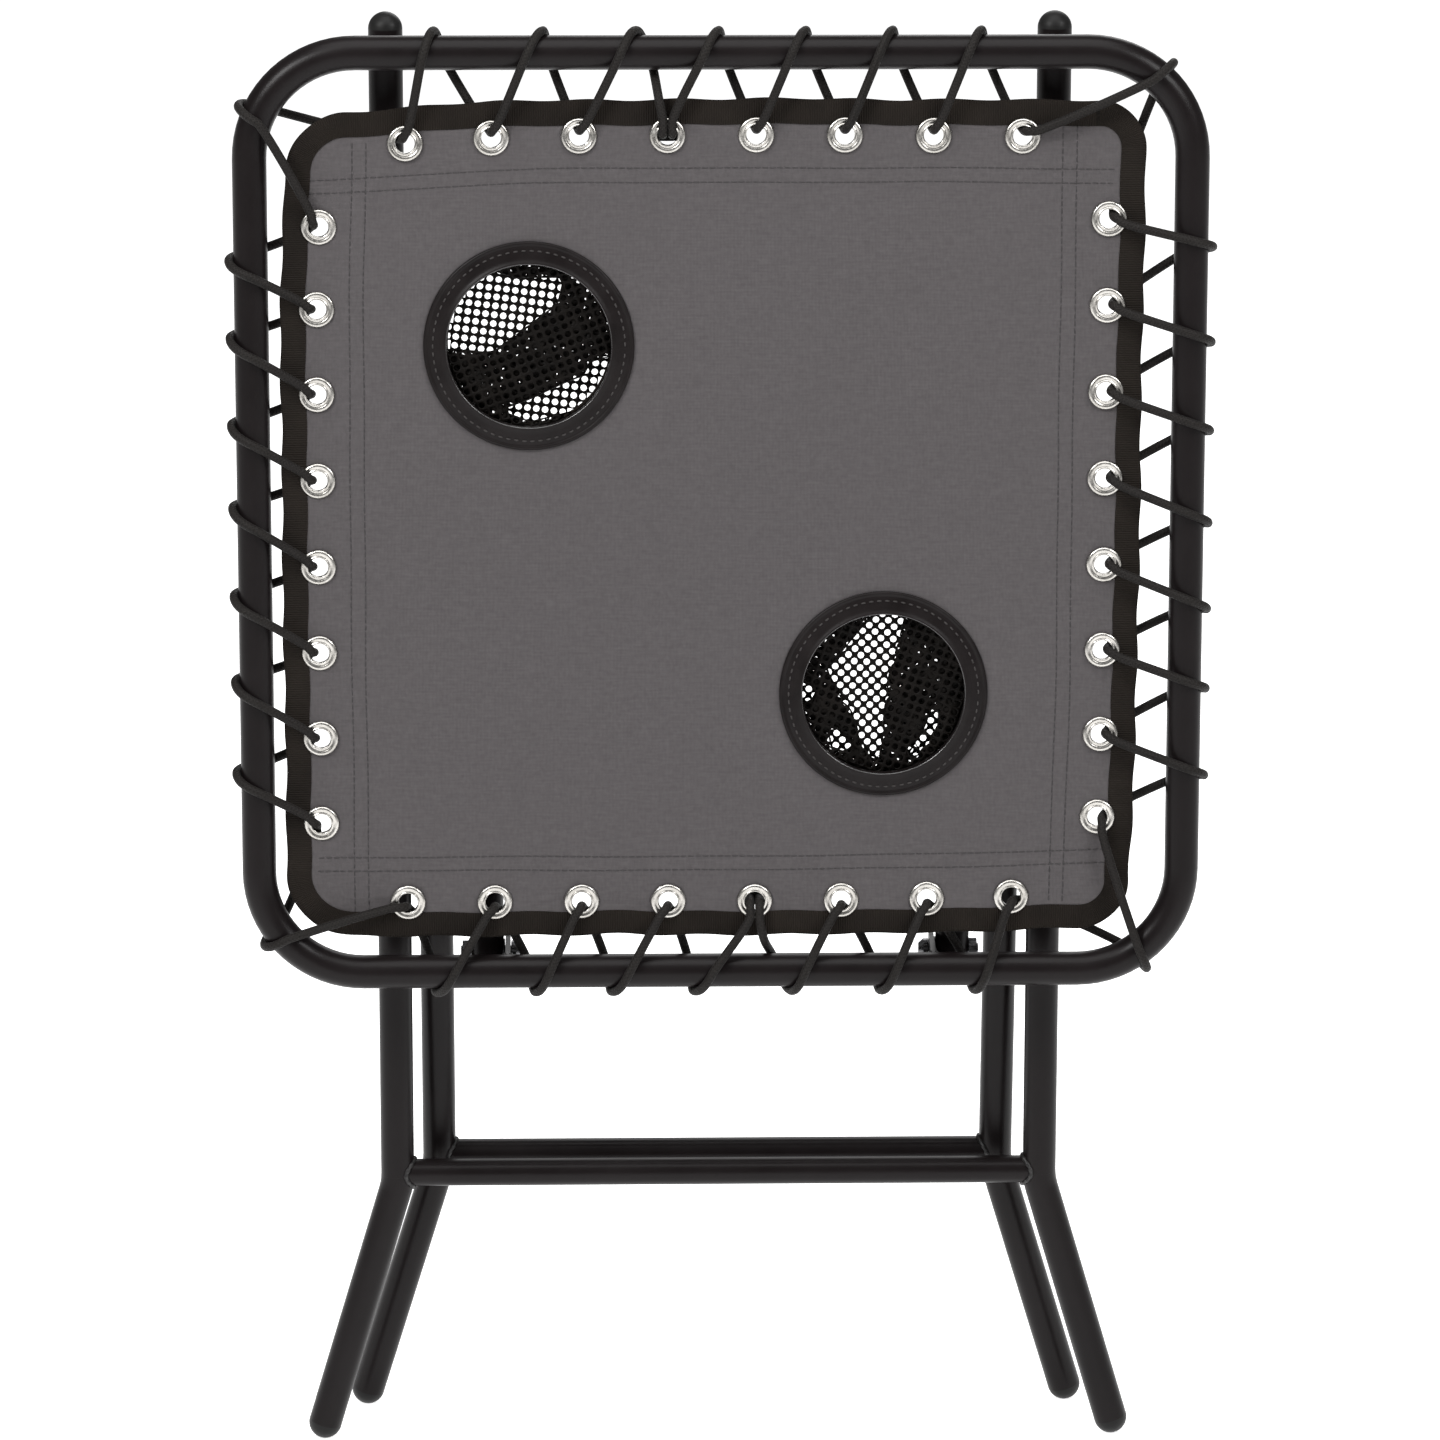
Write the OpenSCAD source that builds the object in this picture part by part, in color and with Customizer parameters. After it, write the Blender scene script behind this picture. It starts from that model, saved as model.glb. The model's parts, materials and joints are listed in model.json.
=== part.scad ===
// Folding side table: a fabric top laced with elastic cord into a square tube frame, on two
// crossing leg frames, with a brace frame that locks the top level when the table is open.
// Modelled folded and standing on its four feet. X runs left to right, -Y is the front,
// +Z is up, and the origin is on the floor under the middle of the object's box.

/* [Table top] */
// Outer width and height of the square top frame
top_size = 480; // [470:1:490]
// Outer diameter of the main tubes
tube_d = 17; // [16:0.5:17.5]
// Wall thickness of all tubes
tube_wall = 1; // [0.8:0.1:1.5]
// Corner radius of the top frame, at the tube's centreline
corner_r = 52; // [46:1:55]
// Backward lean of the folded top, in degrees
top_lean = 5; // [4.8:0.1:5.4]

/* [Legs] */
// Height of the scissor pivot above the floor
pivot_z = 373; // [368:1:378]
// Distance from the scissor pivot up to the table hinge
hinge_up = 346; // [344:0.5:347]
// Lean of each leg frame when folded, in degrees
leg_lean = 3.5; // [3.2:0.1:3.7]
// Lean of each leg frame when the table stands open, in degrees
open_lean = 41; // [40.6:0.1:41.2]
// Half distance between the outer legs, centre to centre
outer_x = 165; // [164.5:0.5:166]
// Half distance between the inner legs
inner_x = 144; // [143.5:0.5:144.5]
// Half distance between the brace tubes
brace_x = 118; // [117.5:0.5:118.5]
// Outward splay of the lower legs, in degrees
splay = 16.6; // [12:0.2:18]
// Centreline radius of the bend in each leg
bend_r = 30; // [26:1:40]
// Height of the leg crossbars above the floor, along the leg
crossbar_up = 143; // [138:1:150]
// Outer diameter of the crossbars
bar_d = 14; // [13:0.5:15]

/* [Fabric and lacing] */
// Width of the fabric panel
panel_w = 424; // [422:1:426]
// Height of the fabric panel
panel_h = 420; // [418:1:422]
// Corner radius of the fabric panel
panel_r = 27; // [20:1:34]
// Thickness of the fabric
panel_t = 1.2; // [1:0.1:1.3]
// Distance between neighbouring eyelets
eyelet_pitch = 43.5; // [43:0.5:44]
// Distance of the eyelet centres from the panel's edge
eyelet_in = 17; // [16.5:0.5:18]
// Diameter of the elastic cord
cord_d = 4.5; // [4:0.1:4.5]

/* [Cup holders] */
// Distance of each cup holder from the point midway between them, sideways and upward
cup_off = 88; // [84:1:90]
// Radius of the cup opening
cup_r = 40.5; // [38:0.5:41]
// Outer radius of the cup ring
ring_r = 52; // [50:0.5:54]
// Depth of the collapsed upper mesh pocket
upper_depth = 14; // [8:1:18]
// Depth of the collapsed lower mesh pocket, which lies in front of the brace
lower_depth = 12; // [8:1:13]

/* [Hidden] */
$fn = 48;

tube_r = tube_d / 2;
bore_r = tube_r - tube_wall;
bar_r = bar_d / 2;
cord_r = cord_d / 2;
half = (top_size - tube_d) / 2;          // top frame centreline, from the middle
sides = [-1, 1];

// Fasteners
bolt_r = 3;
bolt_hole_r = bolt_r + 0.1;              // clamped on the bolt
pivot_hole_r = bolt_r + 0.08;            // turns on the bolt
gap = 0.3;                               // between faces that pass each other
bolt_end = 0.8;                          // a bolt's end beyond its nut
head_r = 5.5;
head_h = 3.4;
nut_r = 5;
nut_h = 4;
thin_nut_h = 2.6;
spacer_r = 6.5;
tab_t = 2.5;
hinge_tab_r = 7.2;
link_tab_r = 8.5;
hinge_tab_gap = 1.5;                     // from the outer leg, and from the brace tube
link_tab_gap = 0.9;

// Offsets behind the top frame's plane: the table hinge and the brace's link pivot
hinge_back = 28.5;
link_back = 27;
hinge_drop = 4.2;                        // the hinge below the frame's top tube

// Tube ends beyond the last pivot, to the base of the dome
outer_tail = 13;
inner_tail = 8;
brace_tail = 5;
plug_in = 20;                            // depth of a cap's plug inside its tube
foot_plug_in = 14;
plug_r = bore_r - 0.05;
brace_bar_down = 24;                     // the brace's crossbar below its upper pivot

// The linkage, in the Y-Z plane with the scissor pivot at [0, 0]. Folded, the outer legs
// lean back by leg_lean and the inner legs lean forward as much. Open, the top is level and
// the inner legs and the brace lie in one line, which fixes the link pivot's distance.
hinge_p = hinge_up * [sin(leg_lean), cos(leg_lean)];
link_down = (2 * hinge_up + (hinge_back - link_back) / cos(open_lean)) * sin(open_lean);
open_reach = hinge_up + (hinge_back - link_back) / cos(open_lean);
top_back = [cos(top_lean), -sin(top_lean)];
top_up = [sin(top_lean), cos(top_lean)];
link_p = hinge_p + (link_back - hinge_back) * top_back - link_down * top_up;
inner_dir = [-sin(leg_lean), cos(leg_lean)];
inner_up = (open_reach * open_reach - link_p * link_p) / (2 * (open_reach - inner_dir * link_p));
knee_p = inner_up * inner_dir;
brace_len = open_reach - inner_up;
brace_lean = atan2((knee_p - link_p)[0], (knee_p - link_p)[1]);

// Feet: a dome on each leg, cut flat where it meets the floor
foot_flat = 0.5;
foot_down = (pivot_z - tube_r + foot_flat) / cos(leg_lean);
bar_z = crossbar_up - pivot_z / cos(leg_lean);
bend_z = bar_z - 5;
bend_len = bend_r * tan(splay / 2);
splay_len = (foot_down + bend_z) / cos(splay) - bend_len;
bend_swell = 0.04;                       // the bent tube is this much fatter
bend_lap = 0.5;                          // and the straight tubes reach this far into it

// Middle of the object's box, front to back
wrap_gap = 0.35;                         // between a cord and the tube it goes round
front_y = hinge_p[0] - hinge_back * top_back[0] - (2 * half - hinge_drop) * top_up[0]
    - (tube_r + wrap_gap + cord_d) * top_back[0];
back_y = foot_down * sin(leg_lean) + tube_r;
shift_y = -(front_y + back_y) / 2;

// Panel, cup holders and eyelets, in the top frame's own plane
panel_x = -4.8;                          // the panel sits a little left of the middle
panel_z = -2.2;
cup_x = -7;                              // and so does the point midway between the cup holders
cup_z = -1.2;
binding_w = 7.6;
binding_t = 3;
binding_lap = 1.6;                       // both edges' thickness beyond the panel
eyelet_r = 8.9;
eyelet_hole_r = 4.8;
eyelet_wall = 1.1;
eyelets = 8;
flange_t = 1.4;                          // half thickness over both flanges
ring_t = 1.6;                            // cup ring: its flat part, its lip and its neck
lip_h = 1.3;
lip_w = 2.4;
lip_t = 1.5;
pocket_flange = 9;
mesh_t = 0.9;
row_start = -(eyelets - 1) / 2 * eyelet_pitch;

// Lacing: each cord leaves an eyelet at the front, goes round the outside of the tube and
// enters the next eyelet from behind
wrap_r = tube_r + cord_r + wrap_gap;
turn_r = flange_t + cord_r + 0.45;       // round the eyelet's outer edge
wrap_from = 100;                         // start and end of a wrap, from the outward side
last_wrap_to = 135;                      // end of a wrap whose cord then comes to the front
wrap_steps = 9;
turn_steps = 4;
front_share = 0.67;                      // parts of a strand's lean taken before the tube,
back_share = 0.85;                       // and of the rest of its way when it leaves the tube
end_gap = cord_r + 0.05;                 // two cord ends share one eyelet
knot_eyelet_top = 3;
knot_eyelet_bottom = 3;
clamp_y = 6.4;
clamp_t = 7;
// How far along the side each strand meets the tube, past its eyelet: top, right, bottom, left
side_lean = [
    [16, 26, 29, 25, 24, 23, 23], [15, 19, 20, 23, 23, 20, 21],
    [20, 24, 27, 31, 29, 24, 30], [26, 29, 29, 30, 28, 28, 23]
];
// Where each corner strand crosses the frame's corner, as an angle from +X
corner_at = [48, -56, -143, 155];

steel = [0.045, 0.045, 0.048];
plastic = [0.03, 0.03, 0.03];
zinc = [0.62, 0.62, 0.6];
nickel = [0.8, 0.79, 0.76];
grey_fabric = [0.36, 0.345, 0.35];
webbing = [0.06, 0.055, 0.05];

// ---------------------------------------------------------------- places
module at_pivot() translate([0, shift_y, pivot_z]) children();
module on_outer() at_pivot() rotate([-leg_lean, 0, 0]) children();
module on_inner() at_pivot() rotate([leg_lean, 0, 0]) children();
module on_top()
    at_pivot() translate([0, hinge_p[0], hinge_p[1]]) rotate([-top_lean, 0, 0])
        translate([0, -hinge_back, hinge_drop - half]) children();
module on_brace()
    at_pivot() translate([0, link_p[0], link_p[1]]) rotate([-brace_lean, 0, 0]) children();
module x_rod(x0, x1, r) translate([x0, 0, 0]) rotate([0, 90, 0]) cylinder(h = x1 - x0, r = r);
module both() for (s = sides) if (s > 0) children(); else mirror([1, 0, 0]) children();

// ---------------------------------------------------------------- legs
// One solid leg of radius r with its centreline on Z, bent outward (+X) below the crossbar,
// and longer by extra at both ends
module leg_rod(r, top, extra) {
    straight_z = bend_z + bend_len;
    translate([0, 0, straight_z - bend_lap])
        cylinder(h = top + extra - straight_z + bend_lap, r = r);
    translate([bend_r, 0, straight_z]) rotate([90, 0, 0]) rotate([0, 0, 180])
        rotate_extrude(angle = splay) translate([bend_r, 0]) circle(r + bend_swell);
    on_splay() translate([0, 0, -extra]) cylinder(h = splay_len + extra + bend_lap, r = r);
}
// The frame of the splayed part: origin at the middle of the foot's dome, Z up the tube
module on_splay() translate([0, 0, bend_z]) rotate([0, -splay, 0])
    translate([0, 0, -bend_len - splay_len]) children();
module leg(top, holes) difference() {
    leg_rod(tube_r, top, 0);
    leg_rod(bore_r, top, 1);
    for (h = holes) translate([0, 0, h[0]]) x_rod(-tube_d, tube_d, h[1]);
}
module foot_cap() on_splay() rotate([180, 0, 0]) end_cap(foot_plug_in);
// Everything below the floor
module floor_cut() translate([-top_size, -top_size, -4 * tube_d])
    cube([2 * top_size, 2 * top_size, 4 * tube_d]);
// A domed cap whose base is at z = 0, with a plug reaching down into the tube
module end_cap(depth = plug_in) {
    intersection() {
        sphere(r = tube_r);
        cylinder(h = tube_r, r = tube_r + 1);
    }
    translate([0, 0, -depth]) cylinder(h = depth, r = plug_r);
}
module crossbar(half_len, z) difference() {
    translate([0, 0, z]) difference() {
        x_rod(-half_len, half_len, bar_r);
        x_rod(-half_len, half_len, bar_r - tube_wall);
    }
    for (s = sides) translate([s * half_len, 0, z - bar_d]) cylinder(h = 2 * bar_d, r = tube_r);
}

module outer_leg() translate([outer_x, 0, 0])
    leg(hinge_up + outer_tail, [[0, bolt_hole_r], [hinge_up, bolt_hole_r]]);
module inner_leg() translate([inner_x, 0, 0])
    leg(inner_up + inner_tail, [[0, pivot_hole_r], [inner_up, bolt_hole_r]]);

// End caps whose plugs the pivot bolts pass through, tail below the dome
module drilled_caps(x, z, tail) both() translate([x, 0, z + tail]) difference() {
    end_cap();
    translate([0, 0, -tail]) x_rod(-tube_d, tube_d, bolt_hole_r);
}

module outer_leg_left() color(steel) on_outer() mirror([1, 0, 0]) outer_leg();
module outer_leg_right() color(steel) on_outer() outer_leg();
module outer_crossbar() color(steel) on_outer() crossbar(outer_x, bar_z);
module outer_end_caps() color(plastic) on_outer() drilled_caps(outer_x, hinge_up, outer_tail);
module outer_foot_caps() color(plastic) difference() {
    on_outer() both() translate([outer_x, 0, 0]) foot_cap();
    floor_cut();
}
module inner_leg_left() color(steel) on_inner() mirror([1, 0, 0]) inner_leg();
module inner_leg_right() color(steel) on_inner() inner_leg();
module inner_crossbar() color(steel) on_inner() crossbar(inner_x, bar_z);
module inner_end_caps() color(plastic) on_inner() drilled_caps(inner_x, inner_up, inner_tail);
module inner_foot_caps() color(plastic) difference() {
    on_inner() both() translate([inner_x, 0, 0]) foot_cap();
    floor_cut();
}

// ---------------------------------------------------------------- fasteners
// A low domed bolt head that starts at x and grows outward (+X)
module bolt_head(x, h) translate([x, 0, 0]) rotate([0, 90, 0]) {
    cylinder(h = h / 2, r = head_r);
    translate([0, 0, h / 2]) cylinder(h = h / 2, r1 = head_r, r2 = head_r * 0.6, $fn = 48);
}
// A hexagon nut from x to x + h, with a hole for the bolt
module hex_nut(x, h) translate([x, 0, 0]) rotate([0, 90, 0]) difference() {
    cylinder(h = h, r = nut_r * 2 / sqrt(3), $fn = 6);
    translate([0, 0, -1]) cylinder(h = h + 2, r = bolt_r, $fn = 48);
}
module washer(x, h, r) translate([x, 0, 0]) rotate([0, 90, 0]) difference() {
    cylinder(h = h, r = r);
    translate([0, 0, -1]) cylinder(h = h + 2, r = bolt_hole_r);
}

outer_in = outer_x - tube_r;
outer_out = outer_x + tube_r;
inner_in = inner_x - tube_r;
inner_out = inner_x + tube_r;
brace_in = brace_x - tube_r;
brace_out = brace_x + tube_r;
hinge_tab_x = outer_out + hinge_tab_gap;
link_tab_x = brace_in - link_tab_gap - tab_t;

module pivot_bolts() color(zinc) on_outer() both() {
    bolt_head(outer_out, head_h);
    x_rod(inner_in - gap - nut_h - bolt_end, outer_out, bolt_r);
}
module pivot_nuts() color(zinc) on_outer() both() hex_nut(inner_in - gap - nut_h, nut_h);
module pivot_spacers() color(plastic) on_outer() both()
    difference() {
        washer(inner_out + gap, outer_in - inner_out - gap, spacer_r);
        translate([outer_x, 0, -spacer_r]) cylinder(h = 2 * spacer_r, r = tube_r);
    }
module hinge_bolts() color(zinc) on_outer() translate([0, 0, hinge_up]) both() {
    bolt_head(hinge_tab_x + tab_t + gap, head_h);
    x_rod(outer_in - thin_nut_h - bolt_end / 2, hinge_tab_x + tab_t + gap, bolt_r);
}
module hinge_nuts() color(zinc) on_outer() translate([0, 0, hinge_up]) both()
    hex_nut(outer_in - thin_nut_h, thin_nut_h);
module hinge_washers() color(plastic) on_outer() translate([0, 0, hinge_up]) both()
    washer(outer_out, hinge_tab_x - gap - outer_out, spacer_r);
module link_bolts() color(zinc) on_inner() translate([0, 0, inner_up]) both() {
    bolt_head(inner_out, 3);
    x_rod(brace_out + gap, inner_out, bolt_r);
}
module link_spacers() color(plastic) on_inner() translate([0, 0, inner_up]) both()
    washer(brace_out + gap, inner_in - brace_out - gap, spacer_r);
module brace_bolts() color(zinc) on_brace() both() {
    mirror([1, 0, 0]) bolt_head(-(link_tab_x - gap), 5);
    x_rod(link_tab_x - gap, brace_out + nut_h + bolt_end, bolt_r);
}
module brace_nuts() color(zinc) on_brace() both() hex_nut(brace_out, nut_h);
module brace_washers() color(plastic) on_brace() both()
    washer(link_tab_x + tab_t + gap, brace_in - link_tab_x - tab_t - gap, spacer_r);
module link_nuts() color(zinc) on_brace() translate([0, 0, brace_len]) both() {
    x_rod(brace_in, brace_out, bolt_r);
    mirror([1, 0, 0]) bolt_head(-brace_in, 4.5);
}

// ---------------------------------------------------------------- brace frame
module brace_tube() translate([brace_x, 0, 0]) difference() {
    length = brace_tail + brace_len + inner_tail;
    translate([0, 0, -brace_tail]) cylinder(h = length, r = tube_r);
    translate([0, 0, -brace_tail - 1]) cylinder(h = length + 2, r = bore_r);
    for (z = [0, brace_len]) translate([0, 0, z]) x_rod(-tube_d, tube_d, bolt_hole_r);
}
module brace_tube_left() color(steel) on_brace() mirror([1, 0, 0]) brace_tube();
module brace_tube_right() color(steel) on_brace() brace_tube();
module brace_crossbar() color(steel) on_brace() crossbar(brace_x, brace_len - brace_bar_down);
module brace_end_caps() color(plastic) on_brace() drilled_caps(brace_x, brace_len, inner_tail);
// The lower caps are rounded about the pivot, so that they clear the top frame as they turn
module brace_foot_caps() color(plastic) on_brace() both()
    translate([brace_x, 0, 0]) difference() {
        union() {
            intersection() {
                sphere(r = norm([tube_r, brace_tail]));
                translate([0, 0, -2 * tube_r]) cylinder(h = 2 * tube_r - brace_tail, r = tube_r);
            }
            translate([0, 0, -brace_tail]) cylinder(h = foot_plug_in, r = plug_r);
        }
        x_rod(-tube_d, tube_d, bolt_hole_r);
    }

// ---------------------------------------------------------------- table top
module ring_rod(r) {
    straight = half - corner_r;
    for (a = [0:90:270]) rotate([0, a, 0]) {
        translate([-straight, 0, half]) rotate([0, 90, 0]) cylinder(h = 2 * straight, r = r);
        translate([straight, 0, straight]) rotate([90, 0, 0])
            rotate_extrude(angle = 90) translate([corner_r, 0]) circle(r);
    }
}
module top_frame() color(steel) on_top() difference() {
    ring_rod(tube_r);
    ring_rod(bore_r);
    // vent hole at the back of the bottom tube
    translate([0, 0, -half]) rotate([-90, 0, 0]) cylinder(h = 2 * tube_r, r = 1.5);
}
// A plate in the Y-Z plane from the frame tube at height tube_z to an end of radius r at [y, z]
module tab(x, tube_z, y, z, r, low, high) difference() {
    translate([x, 0, 0]) rotate([90, 0, 90]) linear_extrude(tab_t) difference() {
        union() {
            translate([y, z]) circle(r);
            polygon([[3, tube_z + low], [y, z - r], [y, z + r], [3, tube_z + high]]);
        }
        translate([y, z]) circle(pivot_hole_r);
    }
    translate([0, 0, tube_z]) x_rod(x - 1, x + tab_t + 1, tube_r);
}
module hinge_tabs() color(steel) on_top() both()
    tab(hinge_tab_x, half, hinge_back, half - hinge_drop, hinge_tab_r, -7.2, 5);
module link_tabs() color(steel) on_top() both()
    tab(link_tab_x, -half, link_back, half - hinge_drop - link_down, link_tab_r, -7, 8);

// A rounded rectangle in the top's plane, from y0 to y0 + t, centred on the panel
module slab(w, h, r, y0, t) translate([panel_x, y0, panel_z]) {
    translate([-w / 2 + r, 0, -h / 2]) cube([w - 2 * r, t, h]);
    translate([-w / 2, 0, -h / 2 + r]) cube([w, t, h - 2 * r]);
    for (sx = sides, sz = sides) translate([sx * (w / 2 - r), 0, sz * (h / 2 - r)])
        rotate([-90, 0, 0]) cylinder(h = t, r = r);
}
module disc(x, z, r, y0, t) translate([x, y0, z]) rotate([-90, 0, 0]) cylinder(h = t, r = r);

// Eyelet centre number i on side s: 0 top, 1 right, 2 bottom, 3 left, clockwise
function outward(s) = [[0, 0, 1], [1, 0, 0], [0, 0, -1], [-1, 0, 0]][s];
function along(s) = [[1, 0, 0], [0, 0, -1], [-1, 0, 0], [0, 0, 1]][s];
function row_mid(s) = [panel_x, 0, panel_z]
    + outward(s) * ((s % 2 == 0 ? panel_h : panel_w) / 2 - eyelet_in);
function eyelet_at(s, i) = row_mid(s) + along(s) * (row_start + i * eyelet_pitch);
function cup_at(s) = [cup_x - s * cup_off, 0, cup_z + s * cup_off];

module eyelet() rotate([-90, 0, 0]) rotate_extrude() {
    translate([eyelet_hole_r, -flange_t]) square([eyelet_wall, 2 * flange_t]);
    for (s = sides) translate([eyelet_hole_r, s > 0 ? panel_t / 2 : -flange_t])
        square([eyelet_r - eyelet_hole_r, flange_t - panel_t / 2]);
}
module eyelet_row(s) color(nickel) on_top()
    for (i = [0:eyelets - 1]) translate(eyelet_at(s, i)) eyelet();

module fabric_panel() color(grey_fabric) on_top() difference() {
    slab(panel_w, panel_h, panel_r, -panel_t / 2, panel_t);
    for (s = [0:3], i = [0:eyelets - 1]) {
        c = eyelet_at(s, i);
        disc(c[0], c[2], eyelet_hole_r + eyelet_wall, -binding_t, 2 * binding_t);
    }
    for (s = sides) disc(cup_at(s)[0], cup_at(s)[2], cup_r + lip_t, -binding_t, 2 * binding_t);
}
module edge_binding() color(webbing) on_top() difference() {
    slab(panel_w + binding_lap, panel_h + binding_lap, panel_r + binding_lap / 2,
        -binding_t / 2, binding_t);
    slab(panel_w, panel_h, panel_r, -panel_t / 2, panel_t);
    slab(panel_w - 2 * binding_w, panel_h - 2 * binding_w, panel_r - binding_w,
        -binding_t, 2 * binding_t);
}
module eyelets_top() eyelet_row(0);
module eyelets_right() eyelet_row(1);
module eyelets_bottom() eyelet_row(2);
module eyelets_left() eyelet_row(3);

// ---------------------------------------------------------------- cup holders
// A flat stitched ring in front of the fabric with a rolled lip round the opening
module cup_ring(s) color(plastic) on_top() translate(cup_at(s)) rotate([-90, 0, 0])
    rotate_extrude() {
        translate([cup_r, -panel_t / 2 - ring_t]) square([ring_r - cup_r, ring_t]);
        translate([cup_r, -panel_t / 2 - ring_t - lip_h]) square([lip_w, lip_h]);
        translate([cup_r, -panel_t / 2 - ring_t]) square([lip_t, ring_t + panel_t + lip_h / 2]);
    }
// A shallow bag with its flange behind the fabric, as the mesh lies when the table is folded
module mesh_pocket(s, depth) color(plastic) on_top() translate(cup_at(s)) rotate([-90, 0, 0])
    rotate_extrude() {
        translate([cup_r + lip_t, panel_t / 2]) square([pocket_flange, mesh_t]);
        translate([cup_r + lip_t, panel_t / 2]) square([mesh_t, depth - panel_t / 2]);
        translate([0, depth - mesh_t]) square([cup_r + lip_t + mesh_t, mesh_t]);
    }
module cup_ring_upper() cup_ring(1);
module cup_ring_lower() cup_ring(-1);
module mesh_pocket_upper() mesh_pocket(1, upper_depth);
module mesh_pocket_lower() mesh_pocket(-1, lower_depth);

// ---------------------------------------------------------------- lacing
function unit(v) = v / norm(v);
// Round the edge of an eyelet, from behind to the front
function turn_points(s, i) = let (c = eyelet_at(s, i))
    [for (k = [0:turn_steps]) let (a = 90 - 180 * k / turn_steps)
        c + outward(s) * turn_r * (1 - cos(a)) + [0, turn_r * sin(a), 0]];
// Round the tube at centreline point c, outward direction n, with shifts v0, v1, v2 along it
function wrap_points(c, n, v0, v1, v2, to = wrap_from) =
    [for (k = [0:wrap_steps]) let (f = k / wrap_steps, a = -wrap_from + (wrap_from + to) * f)
        c + n * wrap_r * cos(a) + [0, wrap_r * sin(a), 0]
          + (f < 0.5 ? v0 + (v1 - v0) * 2 * f : v1 + (v2 - v1) * (2 * f - 1))];
// From eyelet i to i + 1 on side s, round the straight tube
function side_wrap(s, i, to = wrap_from) =
    let (e = eyelet_at(s, i), n = outward(s), c = e + n * (half - e * n), v = along(s),
        lean = side_lean[s][i], rest = eyelet_pitch - lean)
    wrap_points(c, n, v * lean * front_share, v * lean, v * (eyelet_pitch - rest * back_share), to);
// From the last eyelet of side s to the first of the next side, round the frame's corner
function corner_wrap(s) =
    let (a = corner_at[s], n = [cos(a), 0, sin(a)], m = half - corner_r,
        c = [sign(n[0]) * m, 0, sign(n[2]) * m] + n * corner_r, v = [sin(a), 0, -cos(a)])
    wrap_points(c, n, v * -3, v * 0, v * 3);
function side_loops(s, first, last) = [for (i = [first:last])
    each concat(turn_points(s, i), i < eyelets - 1 ? side_wrap(s, i) : corner_wrap(s))];
// Where two cords meet they share an eyelet. Each comes over the front of the binding, goes in
// side by side with the other, and ends in the clamp behind; shift is the place along the side.
function entry_points(s, i, shift) = let (c = eyelet_at(s, i) + along(s) * shift)
    [for (p = [[6.5, -4.6], [1.4, -3.8], [0, -1.5], [0, clamp_y]])
        c + outward(s) * p[0] + [0, p[1], 0]];
function reversed(p) = [for (k = [len(p) - 1:-1:0]) p[k]];
// From behind the tube to the front of the binding's edge, before the shared eyelet
function over_edge(s, i) = [eyelet_at(s, i) + outward(s) * (eyelet_in + 1.5) + [0, -4.6, 0]
    - along(s) * (end_gap + 2)];
function half_lacing(s0, k0, s1, s2, k2) = concat(
    reversed(entry_points(s0, k0, end_gap)), side_wrap(s0, k0),
    side_loops(s0, k0 + 1, eyelets - 1), side_loops(s1, 0, eyelets - 1),
    side_loops(s2, 0, k2 - 2), turn_points(s2, k2 - 1),
    side_wrap(s2, k2 - 1, last_wrap_to), over_edge(s2, k2), entry_points(s2, k2, -end_gap));

function tangent(p, i) = unit(p[min(i + 1, len(p) - 1)] - p[max(i - 1, 0)]);
function normals(p, i, last) = i == len(p) ? [] :
    let (t = tangent(p, i), n = unit(last - t * (last * t)))
    concat([n], normals(p, i + 1, n));
module cord(p, sides_n) {
    n = normals(p, 0, [0.3, 0.5, 0.8]);
    points = [for (i = [0:len(p) - 1], k = [0:sides_n - 1])
        let (t = tangent(p, i), a = 360 * k / sides_n, b = cross(t, n[i]))
        p[i] + cord_r * (n[i] * cos(a) + b * sin(a))];
    last = (len(p) - 1) * sides_n;
    walls = [for (i = [0:len(p) - 2], k = [0:sides_n - 1], h = [0, 1])
        let (a = i * sides_n + k, b = i * sides_n + (k + 1) % sides_n)
        h == 0 ? [a, a + sides_n, b] : [b, a + sides_n, b + sides_n]];
    polyhedron(points, concat(walls, [[for (k = [0:sides_n - 1]) k]],
        [[for (k = [sides_n - 1:-1:0]) last + k]]));
}
module lacing_right() color(webbing) on_top()
    cord(half_lacing(0, knot_eyelet_top, 1, 2, knot_eyelet_bottom), 6);
module lacing_left() color(webbing) on_top()
    cord(half_lacing(2, knot_eyelet_bottom, 3, 0, knot_eyelet_top), 6);
module cord_clamps() color(plastic) on_top()
    for (c = [eyelet_at(0, knot_eyelet_top), eyelet_at(2, knot_eyelet_bottom)])
        translate(c + [-6, clamp_y, -4]) cube([12, clamp_t, 8]);

// ---------------------------------------------------------------- output
outer_leg_left();
outer_leg_right();
outer_crossbar();
outer_end_caps();
outer_foot_caps();
pivot_bolts();
pivot_nuts();
pivot_spacers();
hinge_bolts();
hinge_nuts();
hinge_washers();
inner_leg_left();
inner_leg_right();
inner_crossbar();
inner_end_caps();
inner_foot_caps();
link_bolts();
link_spacers();
top_frame();
hinge_tabs();
link_tabs();
fabric_panel();
edge_binding();
eyelets_top();
eyelets_right();
eyelets_bottom();
eyelets_left();
lacing_right();
lacing_left();
cord_clamps();
cup_ring_upper();
cup_ring_lower();
mesh_pocket_upper();
mesh_pocket_lower();
brace_tube_left();
brace_tube_right();
brace_crossbar();
brace_end_caps();
brace_foot_caps();
brace_bolts();
brace_nuts();
brace_washers();
link_nuts();
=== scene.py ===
"""Looks of the folding side table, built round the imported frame. Lengths are in metres.
Most pieces are made in the table top's own plane (x right, y behind, z up, origin at the middle
of the top frame) and then put in place with the matrix TOP."""
import json
import math

import bpy
import numpy as np
from mathutils import Matrix, Vector


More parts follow.
